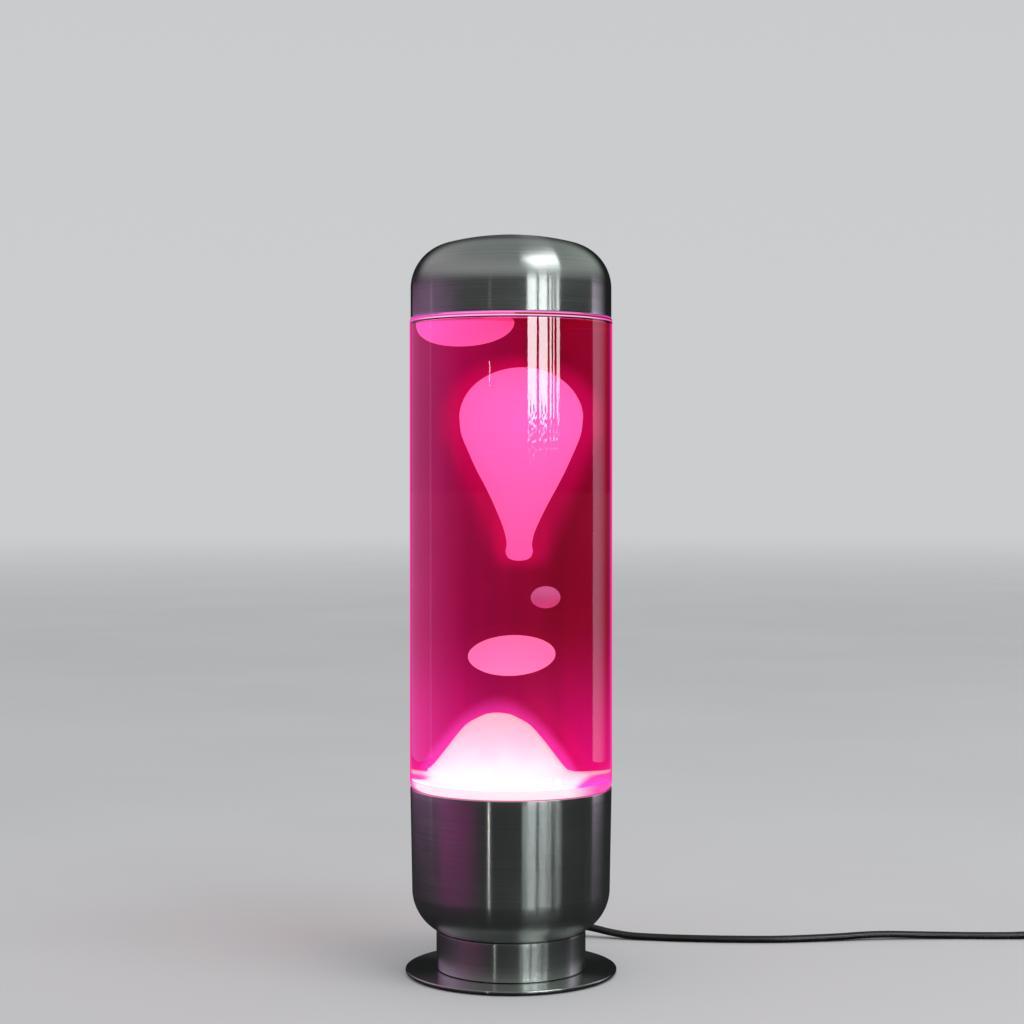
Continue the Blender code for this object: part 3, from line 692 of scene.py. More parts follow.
def frosted_bulb(name):
    """Reflector bulb: a silvered skirt and a frosted front that is lit."""
    finish, tree, where = begin(name)
    front = spread(split(where)[2], 0.0685, 0.0715)
    inputs = {
        "Base Color": blend(front, (0.72, 0.72, 0.7), (0.93, 0.9, 0.84)),
        "Metallic": spread(front, 0.0, 1.0, 0.9, 0.0),
        "Roughness": spread(front, 0.0, 1.0, 0.14, 0.5),
        "Emission Color": blend(front, (0.0, 0.0, 0.0), (2.4, 1.75, 1.05)),
        "Emission Strength": 1.0,
        "Normal": bump(grain(where, 1800.0), 0.15, 0.00004),
    }
    return solid(finish, inputs)


finishes = {
    "steel": brushed("spun_steel_brushed", (0.46, 0.485, 0.465), (0.53, 0.555, 0.535), 0.21),
    "plated": metal("zinc_plated_steel", (0.50, 0.50, 0.47), (0.66, 0.66, 0.63), 0.3),
    "brass": metal("brass_contact", (0.62, 0.45, 0.18), (0.80, 0.62, 0.30), 0.27),
    "tungsten": metal("tungsten_wire", (0.30, 0.30, 0.32), (0.44, 0.44, 0.46), 0.45),
    "rubber": moulded("foot_rubber", (0.012, 0.012, 0.013), (0.03, 0.03, 0.03), 0.8),
    "silicone": moulded("silicone_seal", (0.55, 0.55, 0.54), (0.70, 0.70, 0.69), 0.55, 1800.0),
    "white": moulded("white_phenolic", (0.74, 0.73, 0.70), (0.86, 0.85, 0.82), 0.42, 1600.0, 0.00003),
    "black": moulded("black_polymer", (0.012, 0.012, 0.013), (0.028, 0.028, 0.03), 0.38, 2200.0, 0.00005),
    "insulator": moulded(
        "black_insulator", (0.01, 0.01, 0.014), (0.025, 0.02, 0.035), 0.14, 900.0, 0.00001, 0.6
    ),
    "sheath": moulded(
        "lead_sheath", (0.006, 0.006, 0.007), (0.013, 0.013, 0.014), 0.24, 1500.0, 0.00002, 0.4
    ),
    "live": moulded("live_sheath", (0.26, 0.10, 0.04), (0.36, 0.16, 0.07), 0.42, 1500.0, 0.00003),
    "neutral": moulded("neutral_sheath", (0.03, 0.13, 0.45), (0.06, 0.2, 0.58), 0.42, 1500.0, 0.00003),
    "glass": vessel_glass("vessel_glass"),
    "wetted": wetted_glass("vessel_glass_wetted"),
    "liquid": liquid_side("dyed_liquid_side"),
    "liquid_top": liquid_top("dyed_liquid_top"),
    # The wax's colours here are painted light: emission at its foot, its crown and its rim.
    "balloon": glowing_wax(
        "wax_balloon_glow", (1.0, 1.55, 1.9), (1.25, 1.8, 1.95), (1.3, 2.1, 2.2), 0.5, (0.0, 0.12)
    ),
    "bead": glowing_wax("wax_bead_glow", (0.42, 0.5, 0.6), (0.48, 1.6, 1.2), (0.55, 1.15, 1.05), 0.3),
    "lens": glowing_wax("wax_lens_glow", (1.45, 2.6, 2.0), (1.15, 2.5, 1.9), (1.7, 3.1, 2.2)),
    "pool": glowing_wax("wax_pool_glow", (1.25, 0.95, 1.15), (1.15, 0.85, 1.1), (1.35, 1.1, 1.3)),
    "mound": mound_painted_glow("wax_mound_glow"),
    "bulb": frosted_bulb("reflector_bulb"),
}


# ---------------------------------------------------------------- steel


def spun_form(rim_radius, rim_height, wall_radius, inset, hole):
    """Half a section of a spun cup, from its rim to its middle, counted from the corner's centre."""
    bend = wall_radius - CORNER_RADIUS
    flatness = CROWN_DEPTH - CORNER_RADIUS
    reach = (bend * bend + flatness * flatness) / (2 * flatness)
    end = -math.degrees(math.acos(bend / reach))
    crown_radius = reach + CORNER_RADIUS - inset
    crown_centre = reach + CORNER_RADIUS - CROWN_DEPTH
    wall_steps = 10
    start = (rim_radius - inset, rim_height)
    foot = (wall_radius - inset, 0.0)
    points = []
    for i in range(wall_steps):
        share = i / wall_steps
        points.append((start[0] + (foot[0] - start[0]) * share, start[1] * (1 - share)))
    points += arc((bend, 0.0), CORNER_RADIUS - inset, 0.0, end, 28)
    last = -math.degrees(math.acos(hole / crown_radius))
    points += arc((0.0, crown_centre), crown_radius, end, last, 16)[1:]
    return points


def build_bowl():
    rim = high("base_bowl")
    corner_z = rim.z - BOWL_WALL_HEIGHT
    wall = rim.x - BOWL_DRAFT
    outer, inner = (spun_form(rim.x, BOWL_WALL_HEIGHT, wall, inset, BOWL_HOLE) for inset in (0.0, SHEET))
    turned("bowl_shell", "steel", "base_bowl", [(r, z + corner_z) for r, z in outer + inner[::-1]], 0.42)


def build_cap():
    apex = high("top_cap")
    corner_z = apex.z - CROWN_DEPTH
    rim_height = corner_z - low("top_cap").z
    outer, inner = (spun_form(apex.x, rim_height, apex.x, inset, 0.0) for inset in (0.0, SHEET))
    section = [(r, corner_z - z) for r, z in outer[::-1] + inner]
    section[0] = (0.0, section[0][1])
    section[-1] = (0.0, section[-1][1])
    turned("cap_shell", "steel", "top_cap", section, 0.42, False)


def build_foot():
    bottom, top = span("foot_disc")
    edge = [(0, top.z), (top.x, top.z, 0.6), (top.x, bottom.z, 0.3), (0, bottom.z)]
    steps = [(top.x * k / 24, top.z) for k in range(24)]
    keep(lathe("foot_plate", steps + eased(edge, 0.3)[1:]), "steel", "foot_disc")

    pad = high("foot_pad")
    edge = [(0, pad.z), (pad.x, pad.z, 0.2), (pad.x, 0.0, 0.3), (pad.x - 9.0, 0.0)]
    edge += [(pad.x - 9.4, 0.35), (0, 0.35)]
    turned("foot_cushion", "rubber", "foot_pad", edge, 0.2, False)

    bottom, top = span("collar")
    inner = top.x - SHEET
    wall = [(top.x, top.z, 0.45)]
    wall += [(top.x, bottom.z + (top.z - bottom.z) * k / 8) for k in range(7, 0, -1)]
    wall += [(top.x, bottom.z, 0.3), (inner, bottom.z), (inner, top.z - 0.5)]
    hole = turned_to(post("lead_hole", 4.8, -6.0, 6.0), (0, 1, 0), (0, top.x, EXIT_Z))
    keep(cut(lathe("collar_band", eased(wall, 0.3, True), True), hole), "steel", "collar")


# ---------------------------------------------------------------- glass, liquid and wax


def second_finish(piece, finish, chosen):
    """Gives the faces that are chosen another finish."""
    piece.data.materials.append(finishes[finish])
    for face in piece.data.polygons:
        if chosen(face):
            face.material_index = 1


def build_vessel():
    bottom, top = span("glass_vessel")
    outer, base, lip = top.x, bottom.z, top.z
    inner = outer - GLASS_WALL
    floor = base + GLASS_FLOOR_THICKNESS
    level = high("dyed_liquid").z
    wet_wall = [(inner, floor + 4 + (level - floor - 4) * k / 24) for k in range(1, 25)]
    outline = [(0, floor), (inner - 20, floor), (inner, floor, 3.0), *wet_wall]
    outline += [(inner, SHOULDER_Z - 2.4, 0.8), (30.0, SHOULDER_Z + 0.4, 3.0)]
    outline += [(NECK_BORE + 4, SHOULDER_Z + 3.9, 2.0), (NECK_BORE, 331.5, 2.0), (NECK_BORE, lip, 0.8)]
    outline += [(LIP_RADIUS, lip, 1.0), (LIP_RADIUS, lip - 3.5, 0.7)]
    outline += [(NECK_RADIUS, lip - 5.0, 1.0), (NECK_RADIUS, 333.5, 3.0), (NECK_RADIUS + 4, 329.5, 3.0)]
    outline += [(31.0, SHOULDER_Z + 2.8, 4.0), (outer - 3.2, SHOULDER_Z, 2.0), (outer, SHOULDER_Z - 0.1, 1.2)]
    outline += [(outer, base + 5 + (SHOULDER_Z - base - 8) * k / 12) for k in range(12, 0, -1)]
    outline += [(outer, base, 4.0), (outer - 14, base), (0, base)]
    glass = keep(lathe("vessel_wall", eased(outline, 0.5, steps=8), segments=256), "glass", "glass_vessel")

    def wet(face):
        x, y, z = face.center / MM
        return math.hypot(x, y) < inner + 0.5 and floor - 0.5 < z < level

    second_finish(glass, "wetted", wet)

    crown = [(0, 352.3), (16.2, 352.3, 1.2), (17.4, 350.2, 1.0), (18.0, 343.6, 0.3), (17.3, 343.6, 0.3)]
    crown += [(16.9, 350.9, 0.5), (0, 351.3)]

    def fluted(spot):
        if math.hypot(spot.x, spot.y) < NECK_RADIUS:
            return spot
        skirt = held((351.0 - spot.z) / 6.0)
        return pushed(spot, 0.35 * skirt * math.cos(FLUTES * math.atan2(spot.y, spot.x)))

    stopper = lathe("crown_stopper", eased(crown, 0.4), segments=12 * FLUTES, wobble=fluted)
    keep(stopper, "plated", "vessel_stopper")


def build_liquid():
    bottom, top = span("glass_vessel")
    radius = top.x - GLASS_WALL - LIQUID_CLEARANCE
    floor = bottom.z + GLASS_FLOOR_THICKNESS + LIQUID_CLEARANCE
    level = high("dyed_liquid").z
    outline = [(0, level), (radius - 2.2, level), (radius - 0.9, level + 0.1), (radius, level + 0.55)]
    outline += [(radius, floor, 3.0), (radius - 20, floor), (0, floor)]
    liquid = lathe("liquid_fill", eased(outline, 0.2, steps=8), segments=256, sharp=25)
    keep(liquid, "liquid", "dyed_liquid")

    def on_top(face):
        return face.center.z > (level - 0.01) * MM and face.normal.z > 0.3

    second_finish(liquid, "liquid_top", on_top)


def drifting(strength, size, seed):
    """A slow unevenness, as wax has that never quite comes to rest."""

    def wobble(spot):
        shift = noise.noise_vector(spot / size + Vector((seed, seed * 2, seed * 3))) * strength
        return spot + Vector((shift.x, shift.y, shift.z * 0.5))

    return wobble


def ellipse(radius, top, bottom, middle, count=40):
    """The right side of an egg whose halves may differ in height."""
    points = []
    for i in range(count + 1):
        angle = math.pi * i / count
        height = top if angle < math.pi / 2 else bottom
        points.append((radius * math.sin(angle), middle + height * math.cos(angle)))
    return [(0.0, points[0][1]), *points[1:-1], (0.0, points[-1][1])]


def blob(name, finish, node, outline, centre, sharp=180, **how):
    """A lathed piece of wax round its own upright axis."""
    keep(lathe(name, outline, centre=centre, sharp=sharp, **how), finish, node)


def build_balloon():
    top = high("wax_balloon").z
    rise = top - BALLOON_SHOULDER
    angles = [i * math.pi / 60 for i in range(30)]
    dome = [(BALLOON_RADIUS * math.sin(a), BALLOON_SHOULDER + rise * math.cos(a)) for a in angles]
    taper = [(BALLOON_RADIUS, BALLOON_SHOULDER), (22.1, 266.8), (19.7, 258.4), (16.6, 249.0), (13.3, 240.5)]
    taper += [(10.2, 232.6), (7.5, 225.0), (5.5, 218.3), (4.7, 212.8), (5.0, 209.6), (4.8, 207.7)]
    taper += [(4.1, 206.1), (2.8, 205.1), (1.4, 204.7)]
    outline = [(0.0, top), *dome[1:], *curve(taper, 6), (0.0, low("wax_balloon").z)]

    def hanging(spot):
        spot = drifting(0.35, 30.0, 1.0)(spot)
        spot.x -= 0.9 * held((240.0 - spot.z) / 35.0)
        return spot

    blob("balloon_wax", "balloon", "wax_balloon", outline, (BALLOON_X, 0.0), segments=128, wobble=hanging)


def build_bead_and_lens():
    blob("bead_wax", "bead", "wax_bead", ellipse(5.6, 5.6, 5.2, BEAD_Z), (BEAD_X, 0.0), segments=96)

    def skewed(spot):
        spot = drifting(0.3, 22.0, 4.0)(spot)
        spot.x += 1.2 * (spot.z - LENS_Z) / 10.1
        return spot

    egg = ellipse(LENS_RADIUS, LENS_HALF_HEIGHT, LENS_HALF_HEIGHT, LENS_Z)
    blob("lens_wax", "lens", "wax_lens", egg, (LENS_X, 0.0), segments=128, wobble=skewed)


def build_pool():
    level = high("dyed_liquid").z
    angles = [i * math.pi / 60 for i in range(30)]
    outline = [(0.0, level + 0.7), (14.0, level + 0.6), (18.4, level + 0.2)]
    outline += [(POOL_RADIUS * math.cos(a), level - POOL_DEPTH * math.sin(a)) for a in angles]
    outline.append((0.0, level - POOL_DEPTH))

    def pulled(spot):
        spot = drifting(0.3, 25.0, 7.0)(spot)
        return Vector((spot.x * POOL_STRETCH[0], spot.y * POOL_STRETCH[1], spot.z))

    blob("pool_wax", "pool", "wax_pool", outline, POOL, 60, segments=128, wobble=pulled)


def build_mound():
    floor, peak = low("wax_mound").z, high("wax_mound").z
    ridge = [(0.0, peak), (3.0, peak - 0.4), (6.0, 128.4), (11.5, 124.3), (16.2, 117.4), (21.4, 108.5)]
    ridge += [(26.0, 101.3), (31.5, 98.7), (37.0, 97.4), (45.6, 96.9)]
    outline = [*curve(ridge, 7), (46.0, 96.6), (45.6, 96.1), (44.0, floor), (0.0, floor)]

    def shifted(spot):
        rise = held((spot.z - MOUND_FOOT) / MOUND_BLEND)
        spot = spot + noise.noise_vector(spot / 18.0) * 0.35 * rise
        spot.x += MOUND_SHIFT * rise
        return spot

    blob("mound_wax", "mound", "wax_mound", outline, (0.0, 0.0), 60, segments=128, wobble=shifted)


# ---------------------------------------------------------------- lead


def flex_section():
    """The lead's section: two round cores joined by a narrow web."""
    meet = math.degrees(math.acos(-CORE_OFFSET / CORE_RADIUS))
    right = arc((CORE_OFFSET, 0.0), CORE_RADIUS, -meet + 6, meet - 6, 13)
    left = [(-x, -y) for x, y in right]
    return right + left


def lamp_to_switch():
    """The route from inside the strain relief, behind the lamp and to the right, to the switch."""
    route = [(0, CORD_START_Y, EXIT_Z), (0, 53, EXIT_Z), (0, 61, EXIT_Z)]
    route += [(1.6, 69, 11.2), (6.6, 77, 9.8), (14.5, 81.8, 8.4), (24, 83, 7.1), (34, 81.6, 6.0)]
    route += [(43.6, 79, 4.9), (53, 76.3, 3.2), (63, 73.8, 2.0), (76, 71.2, 1.7), (91, 68.6, 1.7)]
    route += [(115, 66.4, 1.7), (142, 66.2, 1.7), (170, 69.8, 2.0), (196, 73.8, 2.6), (226, 75.4, 1.9)]
    route += [(256, 75, 1.7), (276, SWITCH_Y, 2.3), (290, SWITCH_Y, 5.2), (303, SWITCH_Y, 8.1)]
    route += [(313, SWITCH_Y, 8.25)]
    return through(route, 8)


def switch_to_plug():
    """The route from the switch into the coil, round it, and out to the plug."""
    lead = [(357, SWITCH_Y, 8.25), (366, SWITCH_Y, 8.2), (378, SWITCH_Y, 5.4), (390, SWITCH_Y, 2.3)]
    lead += [(400.5, SWITCH_Y, CORD_REST), (410, SWITCH_Y, CORD_REST), (COIL_X, SWITCH_Y, CORD_REST)]
    path = through(lead, 6)[:-1]
    for i in range(round(COIL_TURNS * COIL_STEPS) + 1):
        turns = i / COIL_STEPS
        lane = min(int(turns), len(COIL_LANES) - 1)
        ahead = min(lane + 1, len(COIL_LANES) - 1)
        share = held((turns - lane - 1 + LANE_CHANGE) / LANE_CHANGE)
        share = share * share * (3 - 2 * share)
        radius = COIL_LANES[lane] + (COIL_LANES[ahead] - COIL_LANES[lane]) * share
        height = COIL_LEVELS[lane] + (COIL_LEVELS[ahead] - COIL_LEVELS[lane]) * share
        angle = math.pi / 2 - 2 * math.pi * turns
        path.append(Vector((COIL_X + radius * math.cos(angle), COIL_Y + radius * math.sin(angle), height)))
    tail = [(COIL_X, PLUG_Y, COIL_LEVELS[-1]), (410, PLUG_Y, 8.5), (400.5, PLUG_Y, 8.4), (395, PLUG_Y, 8.2)]
    tail += [(389, PLUG_Y, 7.3), (382.0, PLUG_Y, 7.0)]
    return path + through(tail, 6)[1:]


def length_of(path):
    return sum((b - a).length for a, b in zip(path, path[1:], strict=False)) * MM


def build_lead():
    first = lamp_to_switch()
    second = switch_to_plug()
    section = flex_section()
    to_switch = keep(swept("lead_to_switch", first, section), "sheath", "cord_to_switch")
    to_plug = swept("lead_to_plug", second, section)
    keep(to_plug, "sheath", "cord_to_coil", "cord_coil", "cord_to_plug")
    switch = [made["switch_case_top"], made["switch_case_bottom"], made["switch_key"]]
    switch += [frame["nodes"][n] for n in ("switch_pin", "switch_screw_1", "switch_screw_2")]
    switch += [frame["nodes"][n] for n in ("switch_contact_1", "switch_contact_2")]
    length_of(first)
    [tuple(p * MM) for p in first]
    length_of(second)
    [tuple(p * MM) for p in second]


def build_relief():
    """A tapered boot with a snap-in neck and ribs."""
    back, tip = low("strain_relief").y, high("strain_relief").y
    stations = [(back, 5.6), (back + 0.3, 6.0), (back + 1.9, 6.0), (back + 2.1, 4.4), (back + 4.3, 4.4)]
    stations += [(back + 4.5, 6.2), (back + 6.1, 6.2), (back + 6.5, 5.0)]
    ribs = 7
    start = back + 6.8
    for k in range(ribs):
        for share, lift in ((0.05, 0.0), (0.15, 0.35), (0.6, 0.35), (0.7, 0.0)):
            along = (k + share) / ribs
            stations.append((start + (tip - start) * along, 4.5 - 1.3 * along + lift))
    stations.append((tip, 3.1))
    angles = [2 * math.pi * i / 48 for i in range(48)]
    sections = []
    for y, radius in stations:
        share = held((y - start) / (tip - start))
        wide, tall = radius + 0.8 * share, radius - 0.6 * share
        sections.append([(wide * math.cos(a), y, EXIT_Z + tall * math.sin(a)) for a in angles])
    keep(loft("relief_boot", sections), "black", "strain_relief")


def switch_shell(name, levels, middle, half_length, half_width):
    """Half of the switch's case: sections that narrow towards its ends, at (height, inset) levels."""
    sections = []
    for z, inset in levels:
        outline = rounded_rectangle(half_length - inset, half_width - inset, SWITCH_CORNER - inset * 0.5, 10)
        narrowed = [(x, y * (1 - 0.16 * (abs(x) / half_length) ** 3)) for x, y in outline]
        sections.append([(middle.x + x, middle.y + y, z) for x, y in narrowed])
    return loft(name, sections)


def build_switch():
    """The in-line switch's two moulded shells, hollow, with a window and its screws' holes."""
    base, crown = low("switch_bottom"), high("switch_top")
    middle = (base + crown) / 2
    half = (crown - base) / 2
    seam_low, seam_high = high("switch_bottom").z, low("switch_top").z
    foot = [(base.z, 1.8), (base.z + 0.25, 0.9), (base.z + 0.9, 0.25), (base.z + 1.8, 0.0)]
    foot += [(seam_low - 0.3, 0.0), (seam_low, 0.3)]
    roof = [(seam_high, 0.3), (seam_high + 0.3, 0.0), (crown.z - 3.6, 0.3), (crown.z - 1.8, 0.9)]
    roof += [(crown.z - 0.7, 2.0), (crown.z - 0.15, 3.6), (crown.z, 5.4)]
    bottom = switch_shell("switch_case_bottom", foot, middle, half.x, half.y)
    top = switch_shell("switch_case_top", roof, middle, half.x, half.y)
    for piece in (bottom, top):
        cut(piece, box_tool("switch_cavity", (40.0, 18.0, 13.3), (middle.x, middle.y, 8.55)))
    cut(top, box_tool("switch_window", (20.6, 10.6, 6.0), (middle.x, middle.y, crown.z)))
    entry = rounded_rectangle(CORE_RADIUS + CORE_OFFSET + 0.3, CORE_RADIUS + 0.3, 1.8)
    for side in (-1, 1):
        x = middle.x + side * SWITCH_ENTRY
        seam = (seam_low + seam_high) / 2
        for piece in (bottom, top):
            tube = [[(x + reach, middle.y + y, seam + z) for y, z in entry] for reach in (-7.0, 7.0)]
            cut(piece, loft("entry_tool", tube))
        screw = (x, middle.y + side * 7.6)
        cut(bottom, post("head_tool", 2.8, -1.0, 2.2, screw))
        cut(bottom, post("shank_tool", 1.5, 0.0, 13.0, screw))
    keep(bottom, "black", "switch_bottom")
    keep(top, "black", "switch_top")


def build_rocker():
    pivot = (low("switch_pin") + high("switch_pin")) / 2
    outline = [(-ROCKER_HALF, -3.0, 0.5), (ROCKER_HALF, -3.0, 0.5), (ROCKER_HALF, 4.6, 0.9), (5.0, 3.9, 8.0)]
    outline += [(0.0, 3.55, 10.0), (-5.0, 3.9, 8.0), (-ROCKER_HALF, 4.6, 0.9)]
    profile = eased(outline, 0.4, True, 4)
    sections = []
    for y, inset in ((-5.0, 0.35), (-4.75, 0.08), (-4.4, 0.0), (4.4, 0.0), (4.75, 0.08), (5.0, 0.35)):
        factor = 1 - inset / ROCKER_HALF
        sections.append([(x * factor, y, z - inset * 0.6 if z > 0 else z + inset * 0.3) for x, z in profile])
    key = loft("switch_key", sections)
    tip = Matrix.Rotation(math.radians(ROCKER_TIP), 4, "Y")
    key.data.transform(Matrix.Translation(pivot * MM) @ tip)
    bore = turned_to(post("bore_tool", 1.3, -8.0, 8.0), (0, 1, 0), pivot)
    keep(cut(key, bore), "black", "switch_rocker")


def build_plug():
    """A flat two-pin plug, lofted from the lead to its face, with a waisted grip."""
    base, top = span("plug_body")
    middle = (base + top) / 2
    half_face, half_thick = (top.y - base.y) / 2, (top.z - base.z) / 2
    grip = [(0.6, 4.4, 3.2), (6.0, 5.4, 4.2), (10.0, 9.0, 5.6), (14.0, 12.2, 6.2), (18.0, 13.2, 6.0)]
    grip += [(22.0, 14.6, 6.0), (27.0, 16.9, 6.5), (31.0, half_face, half_thick)]
    stations = [(0.0, 3.6, 2.6), *curve(grip, 5), (36.2, half_face, half_thick)]
    stations += [(36.8, half_face - 0.35, half_thick - 0.35), (37.0, half_face - 0.9, half_thick - 0.9)]
    sections = []
    for distance, wide, thick in stations:
        ring = rounded_rectangle(wide, thick, min(thick * 0.75, 4.5), 8)
        sections.append([(top.x - distance, middle.y + y, middle.z + z) for y, z in ring])
    plug = keep(loft("plug_shell", sections), "black", "plug_body")
    for number, name in enumerate(("plug_pin_lower", "plug_pin_upper"), 1):
        build_pin(name, f"plug_pin_{number}", base.x + 0.4, plug)


def build_pin(name, node, root, plug):
    """One pin, lying along the X axis with its tip outwards, and the sleeve moulded on its root."""
    start, end = span(node)
    tip, middle = start.x, (start + end) / 2
    reach = root - tip
    lying = Matrix.Translation(Vector((tip, middle.y, middle.z)) * MM) @ Matrix.Rotation(math.pi / 2, 4, "Y")
    outline = [(0, reach), (1.9, reach), (1.9, SLEEVE_START + 0.3), (PIN_RADIUS, SLEEVE_START - 0.1)]
    outline += [(PIN_RADIUS, 1.3, 1.0), (1.1, 0.0, 0.6), (0, 0)]
    pin = lathe(name, eased(outline, 0.15), segments=48)
    pin.data.transform(lying)
    keep(pin, "brass", node)
    skin = PIN_RADIUS + 0.02
    sleeve = [(skin, reach - 0.2), (skin, SLEEVE_START), (1.85, SLEEVE_START), (1.85, reach - 0.2)]
    cover = lathe(name + "_sleeve", sleeve, True, 48)
    cover.data.transform(lying)
    cover.data.materials.append(finishes["black"])
    cover.parent = plug


# ---------------------------------------------------------------- inside


def build_seats():
    """The seat ring and gasket under the vessel, and the ring in the cap that sits over its stopper."""
    foot, rim = span("seat_ring")
    inner = rim.x - 5.5
    flange = [(rim.x, rim.z, 0.6), (rim.x, foot.z, 0.4), (inner, foot.z, 0.4), (inner, rim.z, 0.6)]
    turned("seat_shelf", "black", "seat_ring", flange)
    lip, root = high("seat_gasket").z, low("seat_gasket").z
    bead = [(46.4, lip, 0.5), (47.2, 90.0, 0.6), (47.2, root, 0.3), (44.0, root, 0.3), (44.0, 90.0, 0.6)]
    turned("seat_seal", "silicone", "seat_gasket", [*bead, (44.8, lip, 0.5)])
    hub = [(26.0, 360.2, 0.5), (26.0, 358.8, 0.5), (20.4, 358.8, 0.8), (20.4, 338.0, 0.5)]
    hub += [(18.6, 338.0, 0.5), (18.6, 360.2)]
    turned("cap_hub", "white", "cap_liner", hub, segments=ROUND_MID)


def threaded(name, finish, node, inner_radius, outer_radius, depth, pitch=3.0):
    """A screw thread pressed into thin metal, as high as its node."""
    base, top = low(node).z, high(node).z
    count = round((top - base) / 0.28)
    heights = [base + (top - base) * k / count for k in range(count + 1)]
    outline = [(outer_radius, z) for z in heights[::-1]] + [(inner_radius, z) for z in heights]

    def pressed(spot):
        ends = held(min(spot.z - base, top - spot.z) / 2.0)
        phase = spot.z / pitch * 2 * math.pi - math.atan2(spot.y, spot.x)
        return pushed(spot, -depth * ends * (0.5 - 0.5 * math.cos(phase)))

    keep(lathe(name, outline, True, ROUND_MID, wobble=pressed, sharp=60), finish, node)


def build_holder():
    """The lampholder: a ribbed body, its ring nut and its screw shell."""
    top, bottom = high("lampholder_body").z, low("lampholder_body").z
    wall = [(0, 17.2), (8.0, 17.2, 0.4), (8.0, top, 0.5), (13.5, top, 0.9)]
    for k in range(6):
        z = top - 3.0 - 2.4 * k
        wall += [(13.5, z, 0.2), (13.1, z - 0.35, 0.2), (13.1, z - 0.9, 0.2), (13.5, z - 1.25, 0.2)]
    wall += [(13.5, 23.9, 0.3), (17.2, 23.9, 0.4), (17.2, 21.9, 0.4), (13.5, 21.9, 0.3), (13.5, bottom, 0.5)]
    wall += [(10.5, bottom, 0.4), (10.5, 13.7, 0.4), (0, 13.7)]
    turned("holder_body", "white", "lampholder_body", wall, 0.3, False, segments=ROUND_MID)

    bottom, top = span("holder_nut")
    nut = [(top.x, top.z, 0.3), (top.x, bottom.z, 0.3), (13.8, bottom.z, 0.2), (13.8, top.z, 0.2)]

    def knurled(spot):
        if math.hypot(spot.x, spot.y) < 16.5:
            return spot
        return pushed(spot, 0.15 * math.cos(32 * math.atan2(spot.y, spot.x)) - 0.15)

    turned("holder_ring_nut", "white", "holder_nut", nut, 0.2, segments=256, wobble=knurled)
    threaded("holder_shell", "brass", "lampholder_shell", 7.35, 7.7, 0.25)


def build_bulb():
    threaded("bulb_screw_cap", "plated", "bulb_cap", 6.5, 6.9, 0.35)
    top = high("bulb_envelope").z
    neck = [(6.2, 30.0), (6.2, 42.9), (8.6, 46.5), (13.5, 53.0), (17.2, 60.0), (19.25, 67.0)]
    outer = curve(neck, 5) + arc((15.5, 70.8), 4.0, -10.0, 66.0, 12)
    front_radius, front = outer[-1]
    angles = [i * math.pi / 24 for i in range(1, 12)]
    outer += [(front_radius * math.cos(a), front + (top - front) * math.sin(a)) for a in angles]
    outer.append((0.0, top))
    wall = 0.8
    inner = [(max(r - wall, 0.0), z - wall if z > 73 else z) for r, z in outer]
    keep(lathe("bulb_bowl", outer[::-1] + inner, False, ROUND_MID, sharp=50), "bulb", "bulb_envelope")


def build_screws():
    """Three pan-head screws with a cross recess, seen in the floor of the bowl."""
    for number in (1, 2, 3):
        node = f"bowl_screw_{number}"
        bottom, top = span(node)
        spot = (bottom + top) / 2
        crown, tip = top.z, bottom.z
        head = [(0, crown), (1.2, crown - 0.05), (3.0, crown - 0.6), (3.6, crown - 1.6, 0.4)]
        head += [(3.6, crown - 2.2, 0.1), (1.8, crown - 2.2), (1.8, tip), (0, tip)]
        screw = lathe(f"pan_screw_{number}", eased(head, 0.2), False, 64, (spot.x, spot.y))
        for size in ((3.4, 0.7, 1.4), (0.7, 3.4, 1.4)):
            cut(screw, box_tool("cross_tool", size, (spot.x, spot.y, crown)))
        keep(screw, "plated", node)


def finish_nodes():
    """CAD nodes that keep their own shape get a finish with detail."""
    plain = {
        "stopper_liner": "silicone",
        "bulb_insulator": "insulator",
        "bulb_stem": "bulb",
        "bulb_filament": "tungsten",
        "lead_live": "live",
        "lead_neutral": "neutral",
    }
    brass = ("lampholder_contact", "bulb_contact", "switch_contact_1", "switch_contact_2")
    plain |= dict.fromkeys(brass, "brass")
    plated = ["holder_bracket", "heat_ring", "switch_pin", "switch_screw_1", "switch_screw_2"]
    plated += [f"{kind}_{number}" for kind in ("spacer_post", "foot_screw") for number in (1, 2, 3)]
    plain |= dict.fromkeys(plated, "plated")
    for node, finish in plain.items():
        mesh = frame["nodes"][node].data
        mesh.materials.clear()
        mesh.materials.append(finishes[finish])


# ---------------------------------------------------------------- studio


def build_camera():
    data = bpy.data.cameras.new("camera")
    data.lens = 74.57
    data.sensor_width = 36.0
    data.clip_end = 60.0
    camera = bpy.data.objects.new("camera", data)
    camera.location = (0.0005, -1.05, 0.244)
    camera.rotation_euler = (math.radians(90 - 0.864), 0, 0)
    bpy.context.scene.collection.objects.link(camera)
    bpy.context.scene.camera = camera


def patterned(light, pattern):
    """Gives a light the strength that a pattern has over its face."""
    light.data.use_nodes = True
    tree = light.data.node_tree
    strength = pattern(add(tree, "NewGeometry", None, "Parametric"))
    emit = next(n for n in tree.nodes if n.type == "EMISSION")
    tree.links.new(strength.socket, emit.inputs["Strength"])


